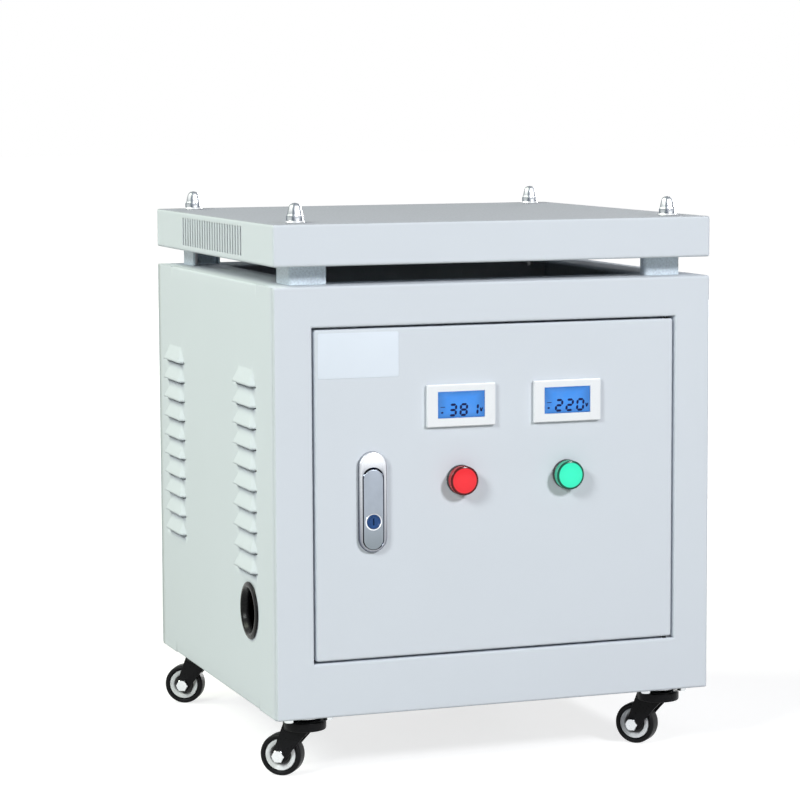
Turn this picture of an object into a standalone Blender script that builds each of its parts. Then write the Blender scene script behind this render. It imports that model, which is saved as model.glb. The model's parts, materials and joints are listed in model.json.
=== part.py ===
"""A wheeled sheet-steel cabinet that holds a three-phase dry transformer.

Metres, +Z up. The front, with the door, faces -Y, and the object stands on z = 0.
"""

import math

import bmesh
import bpy
from mathutils import Matrix, Vector

MM = 0.001
WELD = 0.001 * MM
AXIS_SIZE = 20 * MM
SHARP_ANGLE = math.radians(35)

# Clearances
SEAT_GAP = 0.3 * MM  # between pieces that rest on each other
RUN_GAP = 0.3 * MM  # round a pin that turns, or a plunger that slides
DOOR_GAP = 2.5 * MM  # round the closed door
FLAP_GAP = 0.8 * MM  # round the lock's flip handle

# Cabinet shell, folded from sheet
CABINET_WIDTH = 480 * MM
CABINET_DEPTH = 450 * MM
CABINET_HEIGHT = 440 * MM
SHEET = 1.5 * MM
INNER_BEND = 0.5 * MM
BEND_STEPS = 2
FLANGE_WIDTH = 62 * MM
CORNER_RETURN = 4 * MM
FOLD_RELIEF = 1 * MM
BASE_LIP = 15 * MM
BASE_INSET = 4 * MM

# Door and its opening
BORDER_SIDE = 40 * MM
BORDER_TOP = 41.5 * MM
BORDER_BOTTOM = 56 * MM
DOOR_DEPTH = 18 * MM
HINGE_INSET = 6 * MM
HINGE_PIN_DIAMETER = 5 * MM
HINGE_PIN_REACH = 6 * MM
HINGE_PIN_CHAMFER = 0.5 * MM

# Pressed louvres in the sides
LOUVRE_LENGTH = 74 * MM
LOUVRE_HEIGHT = 16.5 * MM
LOUVRE_RISE = 6 * MM
LOUVRE_SLOT = 2.5 * MM
LOUVRE_PITCH = 21.5 * MM
LOUVRE_DROP = 88.5 * MM
LOUVRE_FRONT_INSET = 64 * MM
LOUVRE_REAR_INSET = 37 * MM
LOUVRE_TAPER = 0.3
LOUVRE_STATIONS = (0, 0.16, 0.84, 1)
LOUVRE_COURSES = (0, 1)

# Cable grommet in the left side
GROMMET_FLANGE_DIAMETER = 60 * MM
GROMMET_NECK_DIAMETER = 50 * MM
GROMMET_BORE_DIAMETER = 42 * MM
GROMMET_FLANGE = 3 * MM
GROMMET_BACK = 4 * MM
GROMMET_HEIGHT = 99 * MM
GROMMET_SETBACK = 92 * MM

# Raised top cover
COVER_GAP = 20 * MM
COVER_SKIRT = 42.5 * MM
COVER_HEM = 10 * MM
SLOT_COUNT = 24
SLOT_PITCH = 9.7 * MM
SLOT_WIDTH = 4 * MM
SLOT_HEIGHT = 30 * MM
POST_WIDTH = 40 * MM
POST_DEPTH = 43 * MM
POST_LIP = 12 * MM
POST_WALL = 2 * MM
POST_BEND = 3 * MM
POST_INSET = 24 * MM
STUD_INSET = 34 * MM
STUD_DIAMETER = 10 * MM
STUD_TAIL = 2 * MM
STUD_HOLE_GAP = 0.4 * MM
NUT_ACROSS = 17 * MM
NUT_HEIGHT = 7.5 * MM
DOME_DIAMETER = 15.5 * MM
DOME_HEIGHT = 10.5 * MM
WASHER_DIAMETER = 20 * MM
WASHER_HEIGHT = 2 * MM

# Casters
CASTER_HEIGHT = 67 * MM
CASTER_INSET_SIDE = 40.5 * MM
CASTER_INSET_END = 37 * MM
CASTER_TRAIL = 24 * MM
CASTER_PLATE_LENGTH = 58 * MM
CASTER_PLATE_WIDTH = 46 * MM
CASTER_PLATE = 2.5 * MM
CASTER_PLATE_CORNER = 6 * MM
CASTER_HOLE_DIAMETER = 6.6 * MM
CASTER_HOLE_INSET = 8 * MM
RACE_DIAMETER = 38 * MM
RACE_HEIGHT = 4 * MM
KINGPIN_DIAMETER = 8 * MM
KINGPIN_HEAD_DIAMETER = 14 * MM
KINGPIN_HEAD = 2.4 * MM
FORK_CROWN_DIAMETER = 45 * MM
FORK_CROWN_HEIGHT = 10 * MM
FORK_SHEET = 2.5 * MM
FORK_LEG_INSET = 0.5 * MM
FORK_EYE_RADIUS = 8 * MM
WHEEL_DIAMETER = 44 * MM
WHEEL_WIDTH = 17 * MM
WHEEL_SIDE_GAP = 1.5 * MM
TYRE_DEPTH = 5.5 * MM
TYRE_SHOULDER = 3 * MM
HUB_RIM_DEPTH = 4 * MM
HUB_WEB = 8 * MM
HUB_DRAFT = 1 * MM
HUB_BOSS_DIAMETER = 14 * MM
AXLE_DIAMETER = 6 * MM
AXLE_HEAD_ACROSS = 12 * MM
AXLE_HEAD_HEIGHT = 4.5 * MM
WHEEL_STEPS = 16
CASTER_TURNS = {"front_left": 144, "front_right": 133, "rear_left": 150, "rear_right": 140}

# Instruments on the door, from its left edge and its top edge to their middles
INPUT_COLUMN = 156 * MM
OUTPUT_COLUMN = 273.5 * MM
METER_DROP = 81 * MM
METER_WIDTH = 75 * MM
METER_HEIGHT = 43.5 * MM
METER_BEZEL = 4 * MM
METER_BEZEL_LAP = 2.3 * MM
METER_CUTOUT_GAP = 0.5 * MM
METER_DEPTH = 28 * MM
METER_EDGE = 1 * MM
DISPLAY_WIDTH = 51 * MM
DISPLAY_HEIGHT = 27 * MM
DISPLAY_RAISE = 0.7 * MM
DISPLAY_RECESS = 0.8 * MM
DISPLAY_GLASS = 2 * MM
LAMP_DROP = 158 * MM
LAMP_REACH = 14 * MM
LAMP_RING_DIAMETER = 30.5 * MM
LAMP_RING_HEIGHT = 4.5 * MM
LAMP_RING_EDGE = 1 * MM
LAMP_LENS_DIAMETER = 28 * MM
LAMP_LENS_EDGE = 2 * MM
LAMP_LENS_CROWN = 1 * MM
LAMP_BARREL_DIAMETER = 22 * MM
LAMP_NUT_DIAMETER = 28 * MM
LAMP_NUT_HEIGHT = 5 * MM
LAMP_DEPTH = 38 * MM

# Lock on the door
LOCK_COLUMN = 60 * MM
LOCK_DROP = 176 * MM
LOCK_WIDTH = 30 * MM
LOCK_LENGTH = 104 * MM
LOCK_BEZEL = 5.2 * MM
LOCK_EDGE = 1.4 * MM
LOCK_WALL = 1.2 * MM
LOCK_BACK = 2 * MM
LOCK_DEPTH = 17 * MM
FLAP_WIDTH = 21.4 * MM
FLAP_LENGTH = 83 * MM
FLAP_THICKNESS = 4 * MM
FLAP_FOOT = 2.8 * MM
FLAP_EDGE = 0.8 * MM
FLAP_PIVOT_DROP = 6 * MM
FLAP_PIVOT_DEPTH = 2.5 * MM
FLAP_PIN_DIAMETER = 3 * MM
FLAP_PIN_BITE = 2.5 * MM
KEY_DIAMETER = 14.4 * MM
KEY_HEIGHT = 29 * MM
KEY_PROUD = 0.6 * MM
KEY_CHAMFER = 0.8 * MM
KEY_LENGTH = 13 * MM
KEY_BOSS_WALL = 2 * MM
KEY_BOSS_LENGTH = 9 * MM
SPINDLE_DROP = 22 * MM
SPINDLE_DIAMETER = 10 * MM
SPINDLE_COLLAR_DIAMETER = 14 * MM
SPINDLE_COLLAR = 2.5 * MM
TONGUE_REACH = 80 * MM
TONGUE_WIDTH = 18 * MM
TONGUE_TIP = 3 * MM
TONGUE_THICKNESS = 3 * MM
TONGUE_NUT_ACROSS = 13 * MM
TONGUE_NUT_HEIGHT = 4 * MM

# Transformer inside
TRANSFORMER_FROM_REAR = 185 * MM
LIMB_WIDTH = 60 * MM
YOKE_HEIGHT = 55 * MM
WINDOW_WIDTH = 75 * MM
WINDOW_HEIGHT = 170 * MM
STACK_DEPTH = 90 * MM
COIL_GAP = 5 * MM
COIL_END_GAP = 0.5 * MM
COIL_BORE_GAP = 0.5 * MM
COIL_CORNER = 24 * MM
CORE_FOOT = 20 * MM
CLAMP_HEIGHT = 48 * MM
CLAMP_LEG = 40 * MM
CLAMP_THICKNESS = 4 * MM
CLAMP_OVERHANG = 20 * MM
BOARD_LENGTH = 300 * MM
BOARD_THICKNESS = 6 * MM
BOARD_EDGE = 1 * MM
BOARD_OVERHANG = 4 * MM
TERMINAL_COUNT = 8
TERMINAL_PITCH = 30 * MM
TERMINAL_BARRIER = 4 * MM
TERMINAL_BASE = 12 * MM
TERMINAL_HEIGHT = 24 * MM
TERMINAL_DEPTH = 34 * MM

# Places that follow from the sizes
BEND = SHEET + INNER_BEND
HALF_WIDTH = CABINET_WIDTH / 2
CABINET_BASE = CASTER_HEIGHT
CABINET_TOP = CABINET_BASE + CABINET_HEIGHT
COVER_BASE = CABINET_TOP + COVER_GAP
COVER_TOP = COVER_BASE + COVER_SKIRT
FRONT_Y = (LAMP_REACH - CABINET_DEPTH) / 2
REAR_Y = FRONT_Y + CABINET_DEPTH
MIDDLE_Y = (FRONT_Y + REAR_Y) / 2
OPENING_HALF = HALF_WIDTH - BORDER_SIDE
OPENING_LOW = CABINET_BASE + BORDER_BOTTOM
OPENING_HIGH = CABINET_TOP - BORDER_TOP
DOOR_HALF = OPENING_HALF - DOOR_GAP
DOOR_LOW = OPENING_LOW + DOOR_GAP
DOOR_HIGH = OPENING_HIGH - DOOR_GAP
HINGE_X = DOOR_HALF - HINGE_INSET
HINGE_Y = FRONT_Y + HINGE_INSET
INPUT_X = INPUT_COLUMN - DOOR_HALF
OUTPUT_X = OUTPUT_COLUMN - DOOR_HALF
METER_Z = DOOR_HIGH - METER_DROP
LAMP_Z = DOOR_HIGH - LAMP_DROP
LOCK_X = LOCK_COLUMN - DOOR_HALF
LOCK_Z = DOOR_HIGH - LOCK_DROP
LOCK_FACE_Y = FRONT_Y - SEAT_GAP - LOCK_BEZEL
FLAP_LOW = LOCK_Z - LOCK_LENGTH / 2 + FLAP_FOOT
FLAP_Z = FLAP_LOW + FLAP_LENGTH / 2
FLAP_HIGH = FLAP_LOW + FLAP_LENGTH
PIVOT_Y = LOCK_FACE_Y + FLAP_PIVOT_DEPTH
PIVOT_Z = FLAP_HIGH - FLAP_PIVOT_DROP
KEY_Z = FLAP_LOW + KEY_HEIGHT
SPINDLE_Z = FLAP_HIGH - SPINDLE_DROP
LOCK_BACK_Y = FRONT_Y + LOCK_DEPTH
TONGUE_Y = FRONT_Y + DOOR_DEPTH + 2 * SEAT_GAP
GROMMET_Y = FRONT_Y + GROMMET_SETBACK
GROMMET_Z = CABINET_BASE + GROMMET_HEIGHT
POST_X = HALF_WIDTH - POST_INSET
POST_YS = (FRONT_Y + POST_INSET, REAR_Y - POST_INSET)
STUD_X = HALF_WIDTH - STUD_INSET
STUD_YS = (FRONT_Y + STUD_INSET, REAR_Y - STUD_INSET)
CASTER_X = HALF_WIDTH - CASTER_INSET_SIDE
CASTER_YS = (FRONT_Y + CASTER_INSET_END, REAR_Y - CASTER_INSET_END)
AXLE_DROP = CASTER_HEIGHT - WHEEL_DIAMETER / 2
CROWN_TOP = -SEAT_GAP - CASTER_PLATE - RACE_HEIGHT - SEAT_GAP
LEG_INNER = WHEEL_WIDTH / 2 + WHEEL_SIDE_GAP
RIM_RADIUS = WHEEL_DIAMETER / 2 - TYRE_DEPTH - SEAT_GAP
BASE_FLOOR = CABINET_BASE + SHEET + SEAT_GAP
CLAMP_FLOOR = BASE_FLOOR + SHEET + SEAT_GAP
CORE_Y = REAR_Y - TRANSFORMER_FROM_REAR
CORE_LOW = CLAMP_FLOOR + CORE_FOOT
CORE_WIDTH = 3 * LIMB_WIDTH + 2 * WINDOW_WIDTH
CORE_HEIGHT = 2 * YOKE_HEIGHT + WINDOW_HEIGHT
CORE_HIGH = CORE_LOW + CORE_HEIGHT
CLAMP_LENGTH = CORE_WIDTH + 2 * CLAMP_OVERHANG

# Colour, roughness and metallic value of each finish
FINISHES = {
    "grey_paint": ((0.72, 0.76, 0.78), 0.45, 0.0),
    "zinc": ((0.66, 0.68, 0.70), 0.35, 1.0),
    "satin_chrome": ((0.70, 0.71, 0.74), 0.3, 1.0),
    "blue_lacquer": ((0.02, 0.06, 0.20), 0.3, 0.4),
    "black_rubber": ((0.012, 0.012, 0.013), 0.6, 0.0),
    "black_enamel": ((0.014, 0.014, 0.016), 0.35, 0.0),
    "white_plastic": ((0.85, 0.86, 0.86), 0.4, 0.0),
    "blue_display": ((0.06, 0.28, 0.80), 0.15, 0.0),
    "black_plastic": ((0.03, 0.03, 0.03), 0.5, 0.0),
    "red_lens": ((0.80, 0.015, 0.02), 0.2, 0.0),
    "green_lens": ((0.02, 0.70, 0.30), 0.2, 0.0),
    "core_steel": ((0.10, 0.10, 0.11), 0.55, 0.6),
    "coil_wrap": ((0.42, 0.22, 0.07), 0.5, 0.0),
    "brown_board": ((0.16, 0.07, 0.03), 0.5, 0.0),
}

SIDES = {"left": -1, "right": 1}


def clear_scene():
    for item in list(bpy.data.objects):
        bpy.data.objects.remove(item, do_unlink=True)


def new_collection(name):
    collection = bpy.data.collections.new(name)
    bpy.context.scene.collection.children.link(collection)
    return collection


clear_scene()
PARTS = new_collection("transformer_cabinet")
CUTTERS = new_collection("cutters")


def material_of(name, finish):
    colour, roughness, metallic = FINISHES[finish]
    material = bpy.data.materials.new(f"{name}_{finish}")
    material.use_nodes = True
    shader = material.node_tree.nodes["Principled BSDF"]
    shader.inputs["Base Color"].default_value = (*colour, 1)
    shader.inputs["Roughness"].default_value = roughness
    shader.inputs["Metallic"].default_value = metallic
    return material


def add_part(name, mesh, finish, location=(0, 0, 0), parent=None):
    """One named piece. Copies may share a mesh, so the material belongs to the object."""
    part = bpy.data.objects.new(name, mesh)
    PARTS.objects.link(part)
    part.location = location
    if not mesh.materials:
        mesh.materials.append(None)
    part.material_slots[0].link = "OBJECT"
    part.material_slots[0].material = material_of(name, finish)
    if parent:
        part.parent = parent
    return part


def add_axis(name, location, parent=None):
    """An empty on a joint's axis, which carries the pieces that move about it."""
    axis = bpy.data.objects.new(name, None)
    PARTS.objects.link(axis)
    axis.empty_display_size = AXIS_SIZE
    axis.location = location
    if parent:
        axis.parent = parent
    return axis


def add_cutter(name, mesh, location=(0, 0, 0)):
    tool = bpy.data.objects.new(name, mesh)
    CUTTERS.objects.link(tool)
    tool.location = location
    tool.hide_render = True
    tool.display_type = "WIRE"
    return tool


def cut(part, tool):
    boolean = part.modifiers.new(f"Cut {tool.name}", "BOOLEAN")
    boolean.operation = "DIFFERENCE"
    boolean.object = tool


def thicken(part, thickness=SHEET):
    """Gives an open skin its sheet thickness, on the side away from the face normals."""
    solidify = part.modifiers.new("Sheet", "SOLIDIFY")
    solidify.thickness = thickness
    solidify.offset = -1
    solidify.use_even_offset = True


def finished_mesh(name, bm, closed=True):
    """The bmesh as a mesh, with doubles merged and a closed body's faces turned outwards."""
    bmesh.ops.remove_doubles(bm, verts=bm.verts, dist=WELD)
    if closed:
        bmesh.ops.recalc_face_normals(bm, faces=bm.faces)
        if bm.calc_volume(signed=True) < 0:
            bmesh.ops.reverse_faces(bm, faces=bm.faces)
    mesh = bpy.data.meshes.new(name)
    bm.to_mesh(mesh)
    bm.free()
    mesh.set_sharp_from_angle(angle=SHARP_ANGLE)
    return mesh


def evaluated_mesh(item):
    bpy.context.view_layer.update()
    graph = bpy.context.evaluated_depsgraph_get()
    return bpy.data.meshes.new_from_object(item.evaluated_get(graph))


def cleaned(name, mesh):
    bm = bmesh.new()
    bm.from_mesh(mesh)
    bpy.data.meshes.remove(mesh)
    return finished_mesh(name, bm)


def combined(name, operation, meshes):
    """The first mesh with the others joined to it or cut from it, as one mesh."""
    helpers = [add_cutter(f"{name}_{index}", mesh) for index, mesh in enumerate(meshes)]
    for helper in helpers[1:]:
        boolean = helpers[0].modifiers.new(operation, "BOOLEAN")
        boolean.operation = operation
        boolean.object = helper
    result = evaluated_mesh(helpers[0])
    for helper in helpers:
        mesh = helper.data
        bpy.data.objects.remove(helper)
        bpy.data.meshes.remove(mesh)
    return cleaned(name, result)


def moved(mesh, x=0, y=0, z=0):
    mesh.transform(Matrix.Translation((x, y, z)))
    return mesh


def box_mesh(name, size, edge=0):
    """A box centred on the origin, with its edges rounded by the given radius."""
    bm = bmesh.new()
    bmesh.ops.create_cube(bm, size=1, matrix=Matrix.Diagonal((*size, 1)))
    if edge:
        bmesh.ops.bevel(bm, geom=bm.edges, offset=edge, segments=2, profile=0.5, affect="EDGES")
    return finished_mesh(name, bm)


def prism_mesh(name, sides, radius, height):
    """A regular prism or cylinder along Z, centred on the origin."""
    bm = bmesh.new()
    bmesh.ops.create_cone(bm, cap_ends=True, segments=sides, radius1=radius, radius2=radius, depth=height)
    return finished_mesh(name, bm)


def hexagon_mesh(name, across, height):
    return prism_mesh(name, 6, across / math.sqrt(3), height)


def turned_mesh(name, profile, steps=32, ring=False):
    """A profile of (radius, height) points, top to bottom on its outer side, turned about Z."""
    points = [(radius, 0, height) for radius, height in profile]
    edges = [(index, index + 1) for index in range(len(points) - 1)]
    if ring:
        edges.append((len(points) - 1, 0))
    outline = bpy.data.meshes.new(name)
    outline.from_pydata(points, edges, [])
    blank = add_cutter(name, outline)
    screw = blank.modifiers.new("Turn", "SCREW")
    screw.steps = steps
    screw.render_steps = steps
    screw.use_merge_vertices = True
    screw.merge_threshold = WELD
    result = evaluated_mesh(blank)
    bpy.data.objects.remove(blank)
    bpy.data.meshes.remove(outline)
    return cleaned(name, result)


def arc(centre, radius, start, end, steps):
    """Points on an arc, from the start angle to the end angle in degrees."""
    angles = [math.radians(start + (end - start) * index / steps) for index in range(steps + 1)]
    return [(centre[0] + radius * math.cos(a), centre[1] + radius * math.sin(a)) for a in angles]


def circle(radius, steps, centre=(0, 0)):
    return arc(centre, radius, 0, 360, steps)[:-1]


def rounded_rectangle(width, height, radius, steps=3):
    a = width / 2 - radius
    b = height / 2 - radius
    corners = ((a, b, 0), (-a, b, 90), (-a, -b, 180), (a, -b, 270))
    return [point for x, y, start in corners for point in arc((x, y), radius, start, start + 90, steps)]


def stadium(width, length, steps=7):
    """An upright slot outline with full round ends."""
    straight = (length - width) / 2
    upper = arc((0, straight), width / 2, 0, 180, steps)
    lower = arc((0, -straight), width / 2, 180, 360, steps)
    return upper + lower


def plate_mesh(name, outlines, thickness):
    """A flat plate in the XY plane, centred on z = 0: the first outline, less the others."""
    curve = bpy.data.curves.new(name, "CURVE")
    curve.dimensions = "2D"
    curve.fill_mode = "BOTH"
    curve.extrude = thickness / 2
    for outline in outlines:
        spline = curve.splines.new("POLY")
        spline.points.add(len(outline) - 1)
        for point, (a, b) in zip(spline.points, outline):
            point.co = (a, b, 0, 1)
        spline.use_cyclic_u = True
    blank = bpy.data.objects.new(name, curve)
    result = bpy.data.meshes.new_from_object(blank)
    bpy.data.objects.remove(blank)
    bpy.data.curves.remove(curve)
    return cleaned(name, result)


def upright(mesh):
    """Turns a plate drawn in XY to stand in XZ, with what was its top facing the front."""
    mesh.transform(Matrix.Rotation(math.radians(90), 4, "X"))
    return mesh


def facing_left(mesh):
    """Turns a piece made along +Z to point along -X."""
    mesh.transform(Matrix.Rotation(math.radians(-90), 4, "Y"))
    return mesh


def along_x(mesh):
    """Turns a section drawn in XY to lie in YZ, so that its thickness runs along X."""
    mesh.transform(Matrix(((0, 0, 1, 0), (1, 0, 0, 0), (0, 1, 0, 0), (0, 0, 0, 1))))
    return mesh


def along_y(mesh):
    """Turns a piece made along +Z to point along +Y."""
    mesh.transform(Matrix.Rotation(math.radians(-90), 4, "X"))
    return mesh


def split(bm, faces, point, normal):
    """Cuts the given faces of an open skin along a plane."""
    pieces = set(faces)
    for face in faces:
        pieces.update(face.edges)
        pieces.update(face.verts)
    bmesh.ops.bisect_plane(bm, geom=list(pieces), dist=WELD, plane_co=point, plane_no=normal)


def drop_faces(bm, unwanted):
    bm.normal_update()
    bmesh.ops.delete(bm, geom=[face for face in bm.faces if unwanted(face)], context="FACES")


def pull_edges(bm, edges, step):
    """Extrudes edges of an open skin by a step, and returns the new edges."""
    grown = bmesh.ops.extrude_edge_only(bm, edges=edges)["geom"]
    points = [item for item in grown if isinstance(item, bmesh.types.BMVert)]
    bmesh.ops.translate(bm, verts=points, vec=step)
    new = set(points)
    lines = [item for item in grown if isinstance(item, bmesh.types.BMEdge)]
    return [line for line in lines if line.verts[0] in new and line.verts[1] in new]


def round_folds(bm, is_fold):
    """Rounds the folds of an open skin to the outer bend radius."""
    bm.normal_update()
    folds = [edge for edge in bm.edges if edge.is_manifold and edge.calc_face_angle() > 0.5]
    folds = [edge for edge in folds if is_fold(edge)]
    bmesh.ops.bevel(
        bm, geom=folds, offset=BEND, offset_type="OFFSET", segments=BEND_STEPS, profile=0.5, affect="EDGES"
    )


def open_box(size, centre, open_side):
    """A box skin with outward faces and the side facing the given direction left out."""
    bm = bmesh.new()
    place = Matrix.Translation(centre) @ Matrix.Diagonal((*size, 1))
    bmesh.ops.create_cube(bm, size=1, matrix=place)
    drop_faces(bm, lambda face: face.normal.dot(Vector(open_side)) > 0.5)
    return bm


def wrapped_panel(inward, opening):
    """The skin of the front or rear panel: a face, deep top and bottom flanges and short side returns.

    inward is 1 for the front panel and -1 for the rear one. With an opening, the front face gets the
    door's hole and the returns round it.
    """
    face_y = FRONT_Y if inward > 0 else REAR_Y
    middle = (0, face_y + inward * FLANGE_WIDTH / 2, (CABINET_BASE + CABINET_TOP) / 2)
    bm = open_box((CABINET_WIDTH, FLANGE_WIDTH, CABINET_HEIGHT), middle, (0, inward, 0))
    if opening:
        for x in (-OPENING_HALF, OPENING_HALF):
            split(bm, [face for face in bm.faces if face.normal.y < -0.5], (x, 0, 0), (1, 0, 0))
        for z in (OPENING_LOW, OPENING_HIGH):
            split(bm, [face for face in bm.faces if face.normal.y < -0.5], (0, 0, z), (0, 0, 1))
        bm.normal_update()
        hole = [face for face in bm.faces if face.normal.y < -0.5 and in_opening(face.calc_center_median())]
        rim = list({edge for face in hole for edge in face.edges})
        bmesh.ops.delete(bm, geom=hole, context="FACES_ONLY")
        pull_edges(bm, rim, (0, DOOR_DEPTH, 0))
    round_folds(bm, lambda edge: not runs_into_opening(edge))
    split(bm, bm.faces[:], (0, face_y + inward * CORNER_RETURN, 0), (0, 1, 0))

    def past_return(face):
        middle = face.calc_center_median()
        depth = inward * (middle.y - face_y)
        return abs(face.normal.x) > 0.05 and depth > CORNER_RETURN and not in_opening(middle)

    drop_faces(bm, past_return)
    return finished_mesh("panel_skin", bm, closed=False)


def in_opening(point):
    return abs(point.x) < OPENING_HALF + WELD and OPENING_LOW - WELD < point.z < OPENING_HIGH + WELD


def runs_into_opening(edge):
    """Whether an edge is a corner between two returns of the opening."""
    along = edge.verts[1].co - edge.verts[0].co
    return abs(along.y) > abs(along.x) + abs(along.z) and in_opening(edge.verts[0].co)


def louvre_rows():
    """The heights of the louvres' lips, from the lowest to the highest."""
    floor = GROMMET_HEIGHT + GROMMET_FLANGE_DIAMETER / 2
    room = CABINET_HEIGHT - LOUVRE_DROP - floor - LOUVRE_HEIGHT - LOUVRE_SLOT
    count = 1 + int(room / LOUVRE_PITCH)
    top_lip = CABINET_TOP - LOUVRE_DROP - LOUVRE_HEIGHT
    return [top_lip - LOUVRE_PITCH * index for index in reversed(range(count))]


def louvre_columns():
    return (FRONT_Y + LOUVRE_FRONT_INSET, REAR_Y - LOUVRE_REAR_INSET - LOUVRE_LENGTH)


def louvre_place(y, z):
    """How far along a louvre, and how far from its top to its lip, a point lies, or None."""
    for start in louvre_columns():
        along = (y - start) / LOUVRE_LENGTH
        if -WELD < along < 1 + WELD:
            for lip in louvre_rows():
                down = 1 - (z - lip) / LOUVRE_HEIGHT
                if -WELD < down < 1 + WELD:
                    return min(max(along, 0), 1), min(max(down, 0), 1)
    return None


def louvre_shape(y, z):
    """Where a point of the flat sheet goes: drawn in along Y, and out by the louvre's rise."""
    place = louvre_place(y, z)
    if not place:
        return y, 0
    along, down = place
    shoulder = min(min(along, 1 - along) / LOUVRE_STATIONS[1], 1)
    rise = LOUVRE_RISE * shoulder * down
    inset = LOUVRE_TAPER * (1 - down) * (0.5 - along) * LOUVRE_LENGTH
    return y + inset, rise


def in_louvre_slot(y, z):
    in_column = any(start < y < start + LOUVRE_LENGTH for start in louvre_columns())
    return in_column and any(lip - LOUVRE_SLOT < z < lip for lip in louvre_rows())


def merged_lines(lines):
    """Sorted grid lines, without those that coincide."""
    kept = []
    for line in sorted(lines):
        if not kept or line - kept[-1] > SEAT_GAP:
            kept.append(line)
    return kept


def louvred_panel(side):
    """The skin of a side panel: a grid pressed out into louvres, with folded top and bottom flanges.

    Each louvre is a flat hood that rises from its top to its lip between two sloped ends, and is cut free
    below the lip.
    Where the front and rear panels bring their own flanges, the sheet runs straight up beside them.
    """
    front = FRONT_Y + CORNER_RETURN + SEAT_GAP
    rear = REAR_Y - CORNER_RETURN - SEAT_GAP
    fold_front = FRONT_Y + FLANGE_WIDTH + SEAT_GAP
    fold_rear = REAR_Y - FLANGE_WIDTH - SEAT_GAP
    low = CABINET_BASE + BEND
    high = CABINET_TOP - BEND
    lines_y = [front, rear, fold_front, fold_rear, fold_front - FOLD_RELIEF, fold_rear + FOLD_RELIEF]
    for start in louvre_columns():
        lines_y += [start + LOUVRE_LENGTH * station for station in LOUVRE_STATIONS]
    lines_z = [low, high]
    for lip in louvre_rows():
        lines_z.append(lip - LOUVRE_SLOT)
        lines_z += [lip + LOUVRE_HEIGHT * (1 - course) for course in LOUVRE_COURSES]
    lines_y = merged_lines(lines_y)
    lines_z = merged_lines(lines_z)

    bm = bmesh.new()
    columns = len(lines_y) - 1
    rows = len(lines_z) - 1
    bmesh.ops.create_grid(bm, x_segments=columns, y_segments=rows, size=0.5)
    for point in bm.verts:
        y = lines_y[round((point.co.x + 0.5) * columns)]
        z = lines_z[round((point.co.y + 0.5) * rows)]
        point.co = (0, y, z)

    def in_slot(face):
        middle = face.calc_center_median()
        return in_louvre_slot(middle.y, middle.z)

    drop_faces(bm, in_slot)
    for level, up in ((high, 1), (low, -1)):
        rim = []
        corners = []
        for edge in bm.edges:
            start, end = sorted(point.co.y for point in edge.verts)
            if any(abs(point.co.z - level) > WELD for point in edge.verts):
                continue
            if start > fold_front - WELD and end < fold_rear + WELD:
                rim.append(edge)
            elif end < fold_front - WELD and start < fold_front - FOLD_RELIEF - WELD:
                corners.append(edge)
            elif start > fold_rear + WELD and end > fold_rear + FOLD_RELIEF + WELD:
                corners.append(edge)
        pull_edges(bm, corners, (0, 0, up * BEND))
        bend = arc((0, 0), BEND, 0, 90, BEND_STEPS)
        for before, after in zip(bend, bend[1:]):
            step = (after[0] - before[0], 0, up * (after[1] - before[1]))
            rim = pull_edges(bm, rim, step)
        pull_edges(bm, rim, (BEND - FLANGE_WIDTH, 0, 0))
    for point in bm.verts:
        y, rise = louvre_shape(point.co.y, point.co.z) if point.co.x == 0 else (point.co.y, 0)
        point.co = (side * (HALF_WIDTH + point.co.x + rise), y, point.co.z)
    bmesh.ops.recalc_face_normals(bm, faces=bm.faces)
    largest = max(bm.faces, key=lambda face: face.calc_area() * (abs(face.normal.x) > 0.9))
    if largest.normal.x * side < 0:
        bmesh.ops.reverse_faces(bm, faces=bm.faces)
    return finished_mesh("side_skin", bm, closed=False)


def stud_holes(name, length, z):
    """Cutters for the four holes that the cover's studs pass through."""
    radius = STUD_DIAMETER / 2 + STUD_HOLE_GAP
    bm = bmesh.new()
    for x in (-STUD_X, STUD_X):
        for y in STUD_YS:
            place = Matrix.Translation((x, y, z))
            bmesh.ops.create_cone(
                bm, cap_ends=True, segments=16, radius1=radius, radius2=radius, depth=length, matrix=place
            )
    return add_cutter(name, finished_mesh(name, bm))


def hinge_holes():
    """Cutters for the hinge pins' holes in the door and in the opening's returns."""
    radius = HINGE_PIN_DIAMETER / 2 + RUN_GAP
    length = 4 * HINGE_PIN_REACH
    bm = bmesh.new()
    for z in (OPENING_LOW, OPENING_HIGH):
        place = Matrix.Translation((HINGE_X, HINGE_Y, z))
        bmesh.ops.create_cone(
            bm, cap_ends=True, segments=16, radius1=radius, radius2=radius, depth=length, matrix=place
        )
    return add_cutter("hinge_holes", finished_mesh("hinge_holes", bm))


def build_shell():
    """Front frame, sides, rear and base plate."""
    flange_holes = stud_holes("flange_stud_holes", 4 * BEND, CABINET_TOP)
    pin_holes = hinge_holes()
    frame = add_part("front_frame", wrapped_panel(1, opening=True), "grey_paint")
    thicken(frame)
    cut(frame, flange_holes)
    cut(frame, pin_holes)
    rear = add_part("rear_panel", wrapped_panel(-1, opening=False), "grey_paint")
    thicken(rear)
    cut(rear, flange_holes)
    panels = {}
    for name, side in SIDES.items():
        panels[name] = add_part(f"{name}_side_panel", louvred_panel(side), "grey_paint")
        thicken(panels[name])
    neck = GROMMET_NECK_DIAMETER / 2 + SEAT_GAP
    hole = facing_left(prism_mesh("cable_hole", 24, neck, 10 * SHEET))
    cut(panels["left"], add_cutter("cable_hole", hole, (-HALF_WIDTH, GROMMET_Y, GROMMET_Z)))
    build_base()
    return pin_holes


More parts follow.
